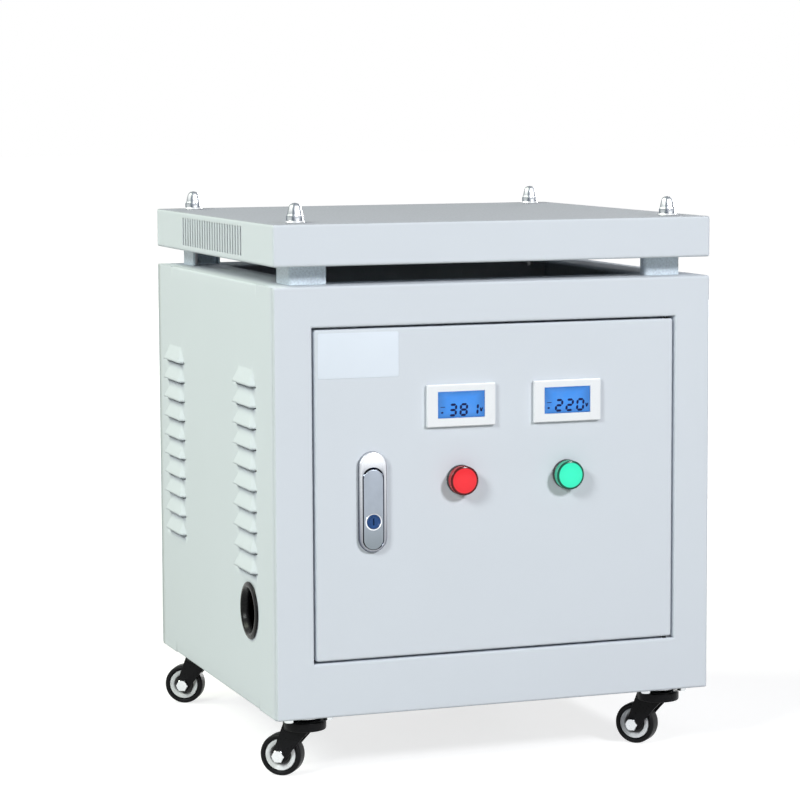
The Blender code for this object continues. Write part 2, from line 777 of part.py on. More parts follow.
def build_base():
    """The tray that the transformer stands on: a sheet with its front and rear edges turned up."""
    depth = CABINET_DEPTH - 2 * (SHEET + BASE_INSET)
    width = CABINET_WIDTH - 2 * (SHEET + BASE_INSET)
    skin = open_box((width, depth, BASE_LIP), (0, MIDDLE_Y, BASE_FLOOR + BASE_LIP / 2), (0, 0, 1))
    drop_faces(skin, lambda face: abs(face.normal.x) > 0.5)
    round_folds(skin, lambda edge: True)
    thicken(add_part("base_plate", finished_mesh("base_skin", skin, closed=False), "grey_paint"))


def build_grommet():
    """A turned rubber ring: a flange outside, a neck through the sheet and a thinner flange inside."""
    bore = GROMMET_BORE_DIAMETER / 2
    neck = GROMMET_NECK_DIAMETER / 2
    flange = GROMMET_FLANGE_DIAMETER / 2
    lip = GROMMET_FLANGE / 3
    outer = SEAT_GAP + GROMMET_FLANGE
    inner = -SHEET - SEAT_GAP
    profile = [
        (bore + lip, outer),
        (flange - lip, outer),
        (flange, outer - lip),
        (flange, SEAT_GAP),
        (neck, SEAT_GAP),
        (neck, inner),
        (flange - 2 * lip, inner),
        (neck, inner - GROMMET_BACK),
        (bore, inner - GROMMET_BACK),
        (bore, outer - lip),
    ]
    mesh = facing_left(turned_mesh("grommet", profile, 24, ring=True))
    add_part("cable_grommet", mesh, "black_rubber", (-HALF_WIDTH, GROMMET_Y, GROMMET_Z))


def build_cover():
    """The raised pan, its four posts and the studs with dome nuts that hold it down."""
    middle_z = (COVER_BASE + COVER_TOP) / 2
    skin = open_box((CABINET_WIDTH, CABINET_DEPTH, COVER_SKIRT), (0, MIDDLE_Y, middle_z), (0, 0, -1))
    rim = [edge for edge in skin.edges if edge.is_boundary]
    hem = pull_edges(skin, rim, (0, 0, 0))
    for point in {point for edge in hem for point in edge.verts}:
        point.co.x -= math.copysign(COVER_HEM, point.co.x)
        point.co.y -= math.copysign(COVER_HEM, point.co.y - MIDDLE_Y)
    round_folds(skin, lambda edge: True)
    cover = add_part("top_cover", finished_mesh("cover_skin", skin, closed=False), "grey_paint")
    thicken(cover)
    cut(cover, stud_holes("cover_stud_holes", 4 * BEND, COVER_TOP))
    cut(cover, cover_slots(middle_z))
    height = COVER_TOP - SHEET - CABINET_TOP - 2 * SEAT_GAP
    section = post_section()
    stud = cover_stud()
    post_z = CABINET_TOP + SEAT_GAP + height / 2
    for name, side in SIDES.items():
        for end, inward, post_y, stud_y in zip(("front", "rear"), (1, -1), POST_YS, STUD_YS):
            outline = [(-side * a, inward * b) for a, b in section]
            post = plate_mesh("cover_post", [outline], height)
            add_part(f"cover_post_{end}_{name}", post, "zinc", (side * POST_X, post_y, post_z))
            add_part(f"cover_stud_{end}_{name}", stud, "zinc", (side * STUD_X, stud_y, COVER_TOP))


def post_section():
    """A folded post from above: a wall at the side, a face and a lip, from the outer corner inwards."""
    bend = POST_BEND
    inside = POST_BEND - POST_WALL
    far = POST_WIDTH - bend
    outer_skin = arc((bend, bend), bend, 180, 270, 3) + arc((far, bend), bend, 270, 360, 3)
    inner_skin = arc((far, bend), inside, 360, 270, 3) + arc((bend, bend), inside, 270, 180, 3)
    lip = [(POST_WIDTH, POST_LIP), (POST_WIDTH - POST_WALL, POST_LIP)]
    return [(0, POST_DEPTH)] + outer_skin + lip + inner_skin + [(POST_WALL, POST_DEPTH)]


def cover_slots(middle_z):
    """Cutters for the upright slots in the cover's left and right skirts."""
    bm = bmesh.new()
    for x in (-HALF_WIDTH, HALF_WIDTH):
        for index in range(SLOT_COUNT):
            y = MIDDLE_Y + (index - (SLOT_COUNT - 1) / 2) * SLOT_PITCH
            size = Matrix.Diagonal((6 * SHEET, SLOT_WIDTH, SLOT_HEIGHT, 1))
            bmesh.ops.create_cube(bm, size=1, matrix=Matrix.Translation((x, y, middle_z)) @ size)
    return add_cutter("cover_slots", finished_mesh("cover_slots", bm))


def cover_stud():
    """A stud with its dome nut and washer above the cover and a plain nut below the cabinet's flange.

    Its origin is on the cover's top face.
    """
    shank = STUD_DIAMETER / 2
    dome = DOME_DIAMETER / 2
    washer = WASHER_DIAMETER / 2
    seat = SEAT_GAP
    nut_low = seat + WASHER_HEIGHT
    nut_high = nut_low + NUT_HEIGHT
    dome_low = nut_low + NUT_HEIGHT / 2
    dome_rise = nut_high + DOME_HEIGHT - dome_low
    flange_under = CABINET_TOP - SHEET - COVER_TOP - seat
    tail = flange_under - NUT_HEIGHT - STUD_TAIL
    crown = [(dome * x, dome_low + dome_rise * z) for x, z in arc((0, 0), 1, 90, 0, 4)]
    crown[0] = (0, nut_high + DOME_HEIGHT)
    profile = crown + [
        (dome, nut_low),
        (washer, nut_low),
        (washer, seat),
        (shank, seat),
        (shank, tail),
        (0, tail),
    ]
    body = turned_mesh("stud_body", profile, 12)
    sunk = WASHER_HEIGHT / 2
    upper = hexagon_mesh("dome_nut", NUT_ACROSS, NUT_HEIGHT + sunk)
    moved(upper, z=nut_high - (NUT_HEIGHT + sunk) / 2)
    lower = moved(hexagon_mesh("flange_nut", NUT_ACROSS, NUT_HEIGHT), z=flange_under - NUT_HEIGHT / 2)
    return combined("cover_stud", "UNION", [body, upper, lower])


def build_door(pin_holes):
    """The door pan with its cut-outs, on an empty at the hinge, and the two fixed hinge pins."""
    axis = add_axis("door_axis", (HINGE_X, HINGE_Y, 0))
    size = (2 * DOOR_HALF, DOOR_DEPTH, DOOR_HIGH - DOOR_LOW)
    middle = (0, FRONT_Y + DOOR_DEPTH / 2, (DOOR_LOW + DOOR_HIGH) / 2)
    skin = open_box(size, middle, (0, 1, 0))
    round_folds(skin, lambda edge: True)
    mesh = moved(finished_mesh("door_skin", skin, closed=False), -HINGE_X, -HINGE_Y)
    door = add_part("door_panel", mesh, "grey_paint", parent=axis)
    thicken(door)
    cut(door, pin_holes)
    depth = 8 * SHEET
    for x, name in ((INPUT_X, "input"), (OUTPUT_X, "output")):
        width, height = meter_body_size()
        window = (width + 2 * METER_CUTOUT_GAP, depth, height + 2 * METER_CUTOUT_GAP)
        cut(door, add_cutter(f"{name}_meter_cutout", box_mesh("cutout", window), (x, FRONT_Y, METER_Z)))
        hole = along_y(prism_mesh("hole", 16, LAMP_BARREL_DIAMETER / 2 + SEAT_GAP, depth))
        cut(door, add_cutter(f"{name}_lamp_hole", hole, (x, FRONT_Y, LAMP_Z)))
    lock = upright(plate_mesh("lock_cutout", [lock_outline(LOCK_WALL + SEAT_GAP)], depth))
    cut(door, add_cutter("lock_cutout", lock, (LOCK_X, FRONT_Y, FLAP_Z)))
    length = 2 * HINGE_PIN_REACH + SHEET + DOOR_GAP
    pin = ends_broken(prism_mesh("hinge_pin", 12, HINGE_PIN_DIAMETER / 2, length))
    middle_gap = (SHEET - DOOR_GAP) / 2
    for name, z in (("bottom", OPENING_LOW - middle_gap), ("top", OPENING_HIGH + middle_gap)):
        add_part(f"hinge_pin_{name}", pin, "zinc", (HINGE_X, HINGE_Y, z))
    return axis


def ends_broken(mesh):
    """Breaks the sharp end edges of a pin."""
    bm = bmesh.new()
    bm.from_mesh(mesh)
    ends = [edge for edge in bm.edges if abs(edge.verts[0].co.z - edge.verts[1].co.z) < WELD]
    bmesh.ops.bevel(bm, geom=ends, offset=HINGE_PIN_CHAMFER, segments=1, affect="EDGES")
    bpy.data.meshes.remove(mesh)
    return finished_mesh("pin", bm)


def meter_body_size():
    """Width and height of a meter's body, which the bezel laps over the edge of its cut-out."""
    lap = 2 * METER_BEZEL_LAP
    return METER_WIDTH - lap, METER_HEIGHT - lap


def build_meters(axis):
    """Two panel meters: a white case with a bezel in front of the door, and its display."""
    for x, name in ((INPUT_X, "input"), (OUTPUT_X, "output")):
        place = (x - HINGE_X, FRONT_Y - HINGE_Y, METER_Z)
        width, height = meter_body_size()
        bezel_size = (METER_WIDTH, METER_BEZEL, METER_HEIGHT)
        bezel = moved(box_mesh("bezel", bezel_size, METER_EDGE), y=-SEAT_GAP - METER_BEZEL / 2)
        length = METER_DEPTH + METER_BEZEL / 2
        body = moved(box_mesh("body", (width, length, height)), y=METER_DEPTH - length / 2)
        recess = DISPLAY_RECESS + DISPLAY_GLASS + SEAT_GAP
        window_size = (DISPLAY_WIDTH + 2 * SEAT_GAP, 2 * recess, DISPLAY_HEIGHT + 2 * SEAT_GAP)
        face_y = -SEAT_GAP - METER_BEZEL
        window = moved(box_mesh("window", window_size), y=face_y, z=DISPLAY_RAISE)
        case = combined("case", "UNION", [bezel, body])
        case = combined(f"{name}_meter_case", "DIFFERENCE", [case, window])
        add_part(f"{name}_meter_case", case, "white_plastic", place, axis)
        glass = box_mesh("display", (DISPLAY_WIDTH, DISPLAY_GLASS, DISPLAY_HEIGHT))
        moved(glass, y=face_y + DISPLAY_RECESS + DISPLAY_GLASS / 2, z=DISPLAY_RAISE)
        add_part(f"{name}_meter_display", glass, "blue_display", place, axis)


def build_lamps(axis):
    """Two pilot lamps: a body with its ring, barrel and rear nut, and a lens in front."""
    barrel = LAMP_BARREL_DIAMETER / 2
    ring = LAMP_RING_DIAMETER / 2
    nut = LAMP_NUT_DIAMETER / 2
    nut_front = -SHEET - SEAT_GAP
    body = [
        (0, LAMP_RING_HEIGHT),
        (ring - LAMP_RING_EDGE, LAMP_RING_HEIGHT),
        (ring, LAMP_RING_HEIGHT - LAMP_RING_EDGE),
        (ring, SEAT_GAP),
        (barrel, SEAT_GAP),
        (barrel, nut_front),
        (nut, nut_front),
        (nut, nut_front - LAMP_NUT_HEIGHT),
        (barrel, nut_front - LAMP_NUT_HEIGHT),
        (barrel, -LAMP_DEPTH),
        (0, -LAMP_DEPTH),
    ]
    lens_radius = LAMP_LENS_DIAMETER / 2
    shoulder = LAMP_REACH - LAMP_LENS_CROWN - LAMP_LENS_EDGE
    edge = arc((lens_radius - LAMP_LENS_EDGE, shoulder), LAMP_LENS_EDGE, 90, 0, 2)
    lens = [(0, LAMP_REACH)] + edge + [(lens_radius, LAMP_RING_HEIGHT + SEAT_GAP)]
    lens.append((0, LAMP_RING_HEIGHT + SEAT_GAP))
    for x, name in ((INPUT_X, "red"), (OUTPUT_X, "green")):
        place = (x - HINGE_X, FRONT_Y - HINGE_Y, LAMP_Z)
        add_part(f"{name}_lamp_body", upright(turned_mesh("body", body, 16)), "black_plastic", place, axis)
        add_part(f"{name}_lamp_lens", upright(turned_mesh("lens", lens, 20)), f"{name}_lens", place, axis)


def lock_outline(margin):
    """The flip handle's outline, grown by a margin past the gap round it."""
    grow = 2 * (FLAP_GAP + margin)
    return stadium(FLAP_WIDTH + grow, FLAP_LENGTH + grow)


def build_lock(axis):
    """Lock housing, flip handle with its key cylinder, and the tongue behind the door."""
    place = (LOCK_X - HINGE_X, -HINGE_Y, 0)
    add_part("lock_housing", lock_housing(), "satin_chrome", place, axis)
    handle_axis = add_axis("handle_axis", (place[0], PIVOT_Y - HINGE_Y, PIVOT_Z), axis)
    handle = moved(lock_handle(), y=-PIVOT_Y, z=-PIVOT_Z)
    add_part("lock_handle", handle, "satin_chrome", parent=handle_axis)
    key_axis = add_axis("key_axis", (0, LOCK_FACE_Y - PIVOT_Y, KEY_Z - PIVOT_Z), handle_axis)
    radius = KEY_DIAMETER / 2
    profile = [
        (0, KEY_PROUD),
        (radius - KEY_CHAMFER, KEY_PROUD),
        (radius, KEY_PROUD - KEY_CHAMFER),
        (radius, KEY_PROUD - KEY_LENGTH),
        (0, KEY_PROUD - KEY_LENGTH),
    ]
    add_part("lock_cylinder", upright(turned_mesh("key", profile, 24)), "blue_lacquer", parent=key_axis)
    tongue_axis = add_axis("tongue_axis", (place[0], TONGUE_Y - HINGE_Y, SPINDLE_Z), axis)
    add_part("lock_tongue", lock_tongue(), "zinc", parent=tongue_axis)


def lock_housing():
    """A long bezel in front of the door, and a walled pocket behind it that the handle lies in."""
    bezel = upright(plate_mesh("bezel", [stadium(LOCK_WIDTH, LOCK_LENGTH)], LOCK_BEZEL))
    bezel = moved(front_rounded(bezel, LOCK_EDGE), y=LOCK_FACE_Y + LOCK_BEZEL / 2, z=LOCK_Z)
    body_length = LOCK_BACK_Y - FRONT_Y + LOCK_BEZEL / 2
    body = upright(plate_mesh("pocket_body", [lock_outline(LOCK_WALL)], body_length))
    moved(body, y=LOCK_BACK_Y - body_length / 2, z=FLAP_Z)
    housing = combined("housing", "UNION", [bezel, body])
    pocket_front = LOCK_FACE_Y - LOCK_BEZEL
    pocket_rear = LOCK_BACK_Y - LOCK_BACK
    pocket = upright(plate_mesh("pocket", [lock_outline(0)], pocket_rear - pocket_front))
    moved(pocket, y=(pocket_front + pocket_rear) / 2, z=FLAP_Z)
    spindle_hole = along_y(prism_mesh("spindle_hole", 16, SPINDLE_DIAMETER / 2 + RUN_GAP, 4 * LOCK_BACK))
    moved(spindle_hole, y=LOCK_BACK_Y, z=SPINDLE_Z)
    reach = FLAP_WIDTH + 2 * (FLAP_PIN_BITE + FLAP_GAP + RUN_GAP)
    pin_hole = facing_left(prism_mesh("pin_hole", 12, FLAP_PIN_DIAMETER / 2 + RUN_GAP, reach))
    moved(pin_hole, y=PIVOT_Y, z=PIVOT_Z)
    return combined("lock_housing", "DIFFERENCE", [housing, pocket, spindle_hole, pin_hole])


def front_rounded(mesh, radius):
    """Rounds the edges round the front face, the one towards -Y, of an upright plate."""
    bm = bmesh.new()
    bm.from_mesh(mesh)
    bm.normal_update()
    front = min(point.co.y for point in bm.verts)
    rim = [edge for edge in bm.edges if edge.calc_face_angle() > 1]
    rim = [edge for edge in rim if all(point.co.y < front + WELD for point in edge.verts)]
    bmesh.ops.bevel(bm, geom=rim, offset=radius, segments=2, profile=0.5, affect="EDGES")
    bpy.data.meshes.remove(mesh)
    return finished_mesh("rounded_plate", bm)


def lock_handle():
    """The flip handle: a long plate with a pivot pin across its upper end and a boss round the key."""
    plate = upright(plate_mesh("flap", [stadium(FLAP_WIDTH, FLAP_LENGTH)], FLAP_THICKNESS))
    plate = moved(front_rounded(plate, FLAP_EDGE), y=LOCK_FACE_Y + FLAP_THICKNESS / 2, z=FLAP_Z)
    hole_radius = KEY_DIAMETER / 2 + RUN_GAP
    boss = along_y(prism_mesh("key_boss", 20, hole_radius + KEY_BOSS_WALL, KEY_BOSS_LENGTH))
    moved(boss, y=LOCK_FACE_Y + (FLAP_THICKNESS + KEY_BOSS_LENGTH) / 2, z=KEY_Z)
    length = FLAP_WIDTH + 2 * (FLAP_PIN_BITE + FLAP_GAP)
    pin = facing_left(prism_mesh("flap_pin", 12, FLAP_PIN_DIAMETER / 2, length))
    moved(pin, y=PIVOT_Y, z=PIVOT_Z)
    solid = combined("handle", "UNION", [plate, boss, pin])
    hole = along_y(prism_mesh("key_hole", 20, hole_radius, 4 * KEY_BOSS_LENGTH))
    moved(hole, y=LOCK_FACE_Y, z=KEY_Z)
    return combined("lock_handle", "DIFFERENCE", [solid, hole])


def lock_tongue():
    """Spindle, tongue and nut. The origin is on the spindle, on the tongue's front face."""
    end = TONGUE_WIDTH / 2
    tip = TONGUE_TIP
    outline = arc((0, 0), end, 0, 180, 8)
    outline += arc((-end + tip, -TONGUE_REACH + tip), tip, 180, 270, 3)
    outline += arc((end - tip, -TONGUE_REACH + tip), tip, 270, 360, 3)
    plate = upright(plate_mesh("tongue", [outline], TONGUE_THICKNESS))
    moved(plate, y=TONGUE_THICKNESS / 2)
    collar_rear = LOCK_BACK_Y - LOCK_BACK - SEAT_GAP - TONGUE_Y
    profile = [
        (0, -(collar_rear - SPINDLE_COLLAR)),
        (SPINDLE_COLLAR_DIAMETER / 2, -(collar_rear - SPINDLE_COLLAR)),
        (SPINDLE_COLLAR_DIAMETER / 2, -collar_rear),
        (SPINDLE_DIAMETER / 2, -collar_rear),
        (SPINDLE_DIAMETER / 2, -TONGUE_THICKNESS / 2),
        (0, -TONGUE_THICKNESS / 2),
    ]
    spindle = upright(turned_mesh("spindle", profile, 16))
    nut = along_y(hexagon_mesh("tongue_nut", TONGUE_NUT_ACROSS, TONGUE_NUT_HEIGHT))
    moved(nut, y=TONGUE_THICKNESS / 2 + TONGUE_NUT_HEIGHT / 2)
    return combined("lock_tongue", "UNION", [plate, spindle, nut])


def caster_plate():
    """Top plate with its raceway and kingpin. The origin is on the cabinet's underside."""
    a = CASTER_PLATE_LENGTH / 2 - CASTER_HOLE_INSET
    b = CASTER_PLATE_WIDTH / 2 - CASTER_HOLE_INSET
    outlines = [rounded_rectangle(CASTER_PLATE_LENGTH, CASTER_PLATE_WIDTH, CASTER_PLATE_CORNER)]
    for x in (-a, a):
        for y in (-b, b):
            outlines.append(circle(CASTER_HOLE_DIAMETER / 2, 6, (x, y)))
    plate = moved(plate_mesh("top_plate", outlines, CASTER_PLATE), z=-SEAT_GAP - CASTER_PLATE / 2)
    race = RACE_DIAMETER / 2
    pin = KINGPIN_DIAMETER / 2
    head = KINGPIN_HEAD_DIAMETER / 2
    race_low = CROWN_TOP + SEAT_GAP
    head_high = CROWN_TOP - FORK_SHEET - SEAT_GAP
    profile = [
        (0, race_low + RACE_HEIGHT + CASTER_PLATE / 2),
        (race, race_low + RACE_HEIGHT + CASTER_PLATE / 2),
        (race - RACE_HEIGHT / 2, race_low),
        (pin, race_low),
        (pin, head_high),
        (head, head_high),
        (head, head_high - KINGPIN_HEAD),
        (0, head_high - KINGPIN_HEAD),
    ]
    return combined("caster_plate", "UNION", [plate, turned_mesh("race", profile, WHEEL_STEPS)])


def caster_fork():
    """A cupped crown that turns under the raceway, with two legs that trail back to the axle."""
    outer = FORK_CROWN_DIAMETER / 2
    hole = KINGPIN_DIAMETER / 2 + RUN_GAP
    top = CROWN_TOP
    low = top - FORK_CROWN_HEIGHT
    edge = FORK_SHEET
    inner = outer - FORK_SHEET
    rim = arc((outer - edge, top - edge), edge, 90, 0, 2)
    profile = [(hole, top)] + rim + [(outer, low), (inner, low)]
    profile += [(inner, top - FORK_SHEET), (hole, top - FORK_SHEET)]
    crown = turned_mesh("crown", profile, WHEEL_STEPS, ring=True)
    meshes = [crown]
    half_chord = math.sqrt(outer**2 - (LEG_INNER + FORK_SHEET) ** 2) - FORK_LEG_INSET
    eye = (CASTER_TRAIL, -AXLE_DROP)
    root = top - FORK_SHEET / 2
    lead = math.degrees(math.atan2(root - eye[1], -half_chord - eye[0]))
    outline = [(half_chord, root), (-half_chord, root)]
    outline += arc(eye, FORK_EYE_RADIUS, lead + 90, 360, 6)
    hole_outline = circle(AXLE_DIAMETER / 2 + SEAT_GAP, 12, eye)
    for side in (-1, 1):
        leg = upright(plate_mesh("leg", [outline, hole_outline], FORK_SHEET))
        meshes.append(moved(leg, y=side * (LEG_INNER + FORK_SHEET / 2)))
    return combined("caster_fork", "UNION", meshes)


def caster_axle():
    """A bolt through both legs and the hub, with a head and a nut. Its origin is the wheel's middle."""
    span = LEG_INNER + FORK_SHEET + SEAT_GAP
    length = 2 * (span + AXLE_HEAD_HEIGHT / 2)
    meshes = [along_y(prism_mesh("shank", 12, AXLE_DIAMETER / 2, length))]
    for side in (-1, 1):
        head = along_y(hexagon_mesh("head", AXLE_HEAD_ACROSS, AXLE_HEAD_HEIGHT))
        meshes.append(moved(head, y=side * (span + AXLE_HEAD_HEIGHT / 2)))
    return combined("caster_axle", "UNION", meshes)


def caster_hub():
    """A turned hub: a boss on the axle, a thin web and a wide rim under the tyre."""
    bore = AXLE_DIAMETER / 2 + RUN_GAP
    boss = HUB_BOSS_DIAMETER / 2
    rim_inner = RIM_RADIUS - HUB_RIM_DEPTH
    boss_half = LEG_INNER - SEAT_GAP
    web_half = HUB_WEB / 2
    rim_half = WHEEL_WIDTH / 2 - HUB_DRAFT
    half = [
        (bore, boss_half),
        (boss, boss_half),
        (boss + HUB_DRAFT, web_half),
        (rim_inner - HUB_DRAFT, web_half),
        (rim_inner, rim_half),
        (RIM_RADIUS, rim_half),
    ]
    profile = half + [(radius, -height) for radius, height in reversed(half)]
    return wheel_mesh("caster_hub", profile)


def caster_tyre():
    """A turned tyre with round shoulders, one facet of which lies flat on the floor."""
    outer = WHEEL_DIAMETER / 2 / math.cos(math.pi / WHEEL_STEPS)
    inner = RIM_RADIUS + SEAT_GAP
    half = WHEEL_WIDTH / 2
    shoulder = arc((outer - TYRE_SHOULDER, half - TYRE_SHOULDER), TYRE_SHOULDER, 90, 0, 2)
    lower = [(radius, -height) for radius, height in reversed(shoulder)]
    profile = [(inner, half)] + shoulder + lower + [(inner, -half)]
    return wheel_mesh("caster_tyre", profile)


def wheel_mesh(name, profile):
    """A ring turned about the axle, with the middle of a facet straight down."""
    mesh = turned_mesh(name, profile, WHEEL_STEPS, ring=True)
    mesh.transform(Matrix.Rotation(math.pi / WHEEL_STEPS, 4, "Z"))
    return along_y(mesh)


def build_casters():
    """Four swivel casters. The fork turns about the kingpin and trails the wheel behind it."""
    plate = caster_plate()
    fork = caster_fork()
    axle = caster_axle()
    hub = caster_hub()
    tyre = caster_tyre()
    for side, x in (("left", -CASTER_X), ("right", CASTER_X)):
        for end, y in zip(("front", "rear"), CASTER_YS):
            corner = f"{end}_{side}"
            swivel = add_axis(f"swivel_axis_{corner}", (x, y, CABINET_BASE))
            add_part(f"caster_plate_{corner}", plate, "zinc", (x, y, CABINET_BASE))
            swivel.rotation_euler.z = math.radians(CASTER_TURNS[corner])
            wheel = add_axis(f"wheel_axis_{corner}", (CASTER_TRAIL, 0, -AXLE_DROP), swivel)
            add_part(f"caster_fork_{corner}", fork, "black_enamel", parent=swivel)
            add_part(f"caster_axle_{corner}", axle, "zinc", parent=wheel)
            add_part(f"caster_hub_{corner}", hub, "white_plastic", parent=wheel)
            add_part(f"caster_tyre_{corner}", tyre, "black_rubber", parent=wheel)


def rectangle(x0, y0, x1, y1):
    return [(x0, y0), (x1, y0), (x1, y1), (x0, y1)]


def build_transformer():
    """Three-limb core, a coil on each limb, the clamps that hold the yokes, and the terminals."""
    limb_step = LIMB_WIDTH + WINDOW_WIDTH
    half = CORE_WIDTH / 2
    outlines = [rectangle(-half, 0, half, CORE_HEIGHT)]
    for side in (-1, 1):
        middle = side * limb_step / 2
        reach = WINDOW_WIDTH / 2
        outlines.append(
            rectangle(middle - reach, YOKE_HEIGHT, middle + reach, YOKE_HEIGHT + WINDOW_HEIGHT)
        )
    core = upright(plate_mesh("core", outlines, STACK_DEPTH))
    add_part("core", core, "core_steel", (0, CORE_Y, CORE_LOW))
    build_coils(limb_step)
    build_clamps()
    build_terminals()


def build_coils(limb_step):
    """A wrapped coil on each limb: a rounded ring that fills the window but for the gaps round it."""
    wall = (WINDOW_WIDTH - COIL_GAP) / 2
    bore_x = LIMB_WIDTH + 2 * COIL_BORE_GAP
    bore_y = STACK_DEPTH + 2 * COIL_BORE_GAP
    outer = rounded_rectangle(LIMB_WIDTH + 2 * wall, STACK_DEPTH + 2 * wall, COIL_CORNER, 4)
    inner = rectangle(-bore_x / 2, -bore_y / 2, bore_x / 2, bore_y / 2)
    height = WINDOW_HEIGHT - 2 * COIL_END_GAP
    coil = plate_mesh("coil", [outer, inner], height)
    middle_z = CORE_LOW + YOKE_HEIGHT + WINDOW_HEIGHT / 2
    for index, name in enumerate(("left", "middle", "right")):
        add_part(f"coil_{name}", coil, "coil_wrap", ((index - 1) * limb_step, CORE_Y, middle_z))


def build_clamps():
    """Angle bars bolted along both yokes. The lower pair stands on the base plate as feet."""
    thick = CLAMP_THICKNESS
    face = STACK_DEPTH / 2 + SEAT_GAP
    foot_height = CORE_FOOT + CLAMP_HEIGHT
    lower = [(face, 0), (face + CLAMP_LEG, 0), (face + CLAMP_LEG, thick), (face + thick, thick)]
    lower += [(face + thick, foot_height), (face, foot_height)]
    upper = [(face, 0), (face + thick, 0), (face + thick, CLAMP_HEIGHT - thick)]
    upper += [(face + CLAMP_LEG, CLAMP_HEIGHT - thick), (face + CLAMP_LEG, CLAMP_HEIGHT)]
    upper.append((face, CLAMP_HEIGHT))
    for end, way in (("front", -1), ("rear", 1)):
        for level, outline, z in (("lower", lower, CLAMP_FLOOR), ("upper", upper, CORE_HIGH - CLAMP_HEIGHT)):
            section = [(way * y, height) for y, height in outline]
            bar = along_x(plate_mesh("clamp", [section], CLAMP_LENGTH))
            add_part(f"{level}_clamp_{end}", bar, "black_enamel", (0, CORE_Y, z))


def build_terminals():
    """A board on the front upper clamp, and a barrier block with a bay for each terminal."""
    board_depth = CLAMP_LEG + BOARD_OVERHANG
    y = CORE_Y - STACK_DEPTH / 2 - SEAT_GAP - board_depth / 2
    board_z = CORE_HIGH + SEAT_GAP + BOARD_THICKNESS / 2
    board = box_mesh("board", (BOARD_LENGTH, board_depth, BOARD_THICKNESS), BOARD_EDGE)
    add_part("terminal_board", board, "brown_board", (0, y, board_z))
    half = (TERMINAL_COUNT * TERMINAL_PITCH + TERMINAL_BARRIER) / 2
    outline = [(-half, 0), (half, 0)]
    for index in reversed(range(TERMINAL_COUNT + 1)):
        left = index * TERMINAL_PITCH - half
        right = left + TERMINAL_BARRIER
        if index < TERMINAL_COUNT:
            outline.append((right, TERMINAL_BASE))
        outline += [(right, TERMINAL_HEIGHT), (left, TERMINAL_HEIGHT)]
        if index:
            outline.append((left, TERMINAL_BASE))
    block = upright(plate_mesh("terminal_block", [outline], TERMINAL_DEPTH))
    block_z = CORE_HIGH + 2 * SEAT_GAP + BOARD_THICKNESS
    add_part("terminal_block", block, "black_plastic", (0, y, block_z))


def main():
    pin_holes = build_shell()
    build_grommet()
    build_cover()
    door_axis = build_door(pin_holes)
    build_meters(door_axis)
    build_lamps(door_axis)
    build_lock(door_axis)
    build_casters()
    build_transformer()


main()
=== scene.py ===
"""Looks of a wheeled transformer cabinet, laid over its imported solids.

Metres, +Z up. The front, with the door, faces -Y, and the object stands on z = 0.
"""

import json
import math

import bmesh
import bpy
import numpy as np
from bpy.props import FloatProperty, FloatVectorProperty, IntProperty, PointerProperty, StringProperty
from mathutils import Matrix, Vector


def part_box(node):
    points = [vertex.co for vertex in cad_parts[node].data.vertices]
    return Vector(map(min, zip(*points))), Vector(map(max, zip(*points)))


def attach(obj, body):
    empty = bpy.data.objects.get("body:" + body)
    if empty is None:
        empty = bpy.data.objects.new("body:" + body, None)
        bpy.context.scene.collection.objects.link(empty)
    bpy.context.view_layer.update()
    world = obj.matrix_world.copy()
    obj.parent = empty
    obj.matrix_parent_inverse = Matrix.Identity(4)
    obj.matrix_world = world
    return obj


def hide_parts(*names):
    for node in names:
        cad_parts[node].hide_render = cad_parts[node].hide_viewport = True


bl_info = {
    "name": "Transformer Cabinet",
    "version": (1, 0, 0),
    "blender": (4, 5, 0),
    "location": "View3D > Sidebar > Cabinet",
    "description": "Finishes, fittings and stage of a wheeled transformer cabinet",
    "category": "Object",
}

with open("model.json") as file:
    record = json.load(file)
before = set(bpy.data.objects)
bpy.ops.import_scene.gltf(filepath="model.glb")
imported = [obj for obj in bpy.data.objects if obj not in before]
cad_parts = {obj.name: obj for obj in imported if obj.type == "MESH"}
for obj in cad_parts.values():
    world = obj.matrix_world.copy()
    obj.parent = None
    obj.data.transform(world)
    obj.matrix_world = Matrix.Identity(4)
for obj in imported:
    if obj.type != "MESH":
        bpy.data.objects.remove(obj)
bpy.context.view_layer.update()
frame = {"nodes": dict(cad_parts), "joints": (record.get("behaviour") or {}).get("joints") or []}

MM = 0.001
TAU = 2 * math.pi
WELD = 0.001 * MM
NEAR = 0.001
FRONT = (0, -1, 0)
LEFT = (-1, 0, 0)
RIGHT = (1, 0, 0)
UP = (0, 0, 1)
CORNERS = ("front_left", "front_right", "rear_left", "rear_right")
JOINTS = {joint["name"]: joint for joint in frame["joints"]}


def box_of(node):
    """Lowest and highest corner of a CAD node, as arrays."""
    low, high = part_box(node)
    return np.array(low), np.array(high)


def middle_of(node):
    """Middle of a CAD node's box."""
    low, high = box_of(node)
    return (low + high) / 2


def joint_place(name):
    """A point on a joint's axis."""
    return np.array(JOINTS[name]["pos_m"], float)


# Sizes and colours that a user would change


def length(name, description, default):
    """A size in millimetres, kept in metres."""
    return FloatProperty(name=name, description=description, default=default * MM, unit="LENGTH", precision=5)


def angle(name, description, default):
    """An angle in degrees, kept in radians."""
    return FloatProperty(name=name, description=description, default=math.radians(default), unit="ROTATION")


def share(name, description, default):
    """A plain number from 0 to 1."""
    return FloatProperty(name=name, description=description, default=default, min=0, max=1, subtype="FACTOR")


def power(name, description, default):
    """A lamp's power in watts."""
    return FloatProperty(name=name, description=description, default=default, min=0, unit="POWER")


def colour(name, description, default):
    """A colour in linear light."""
    return FloatVectorProperty(name=name, description=description, default=default, subtype="COLOR", min=0, max=1)


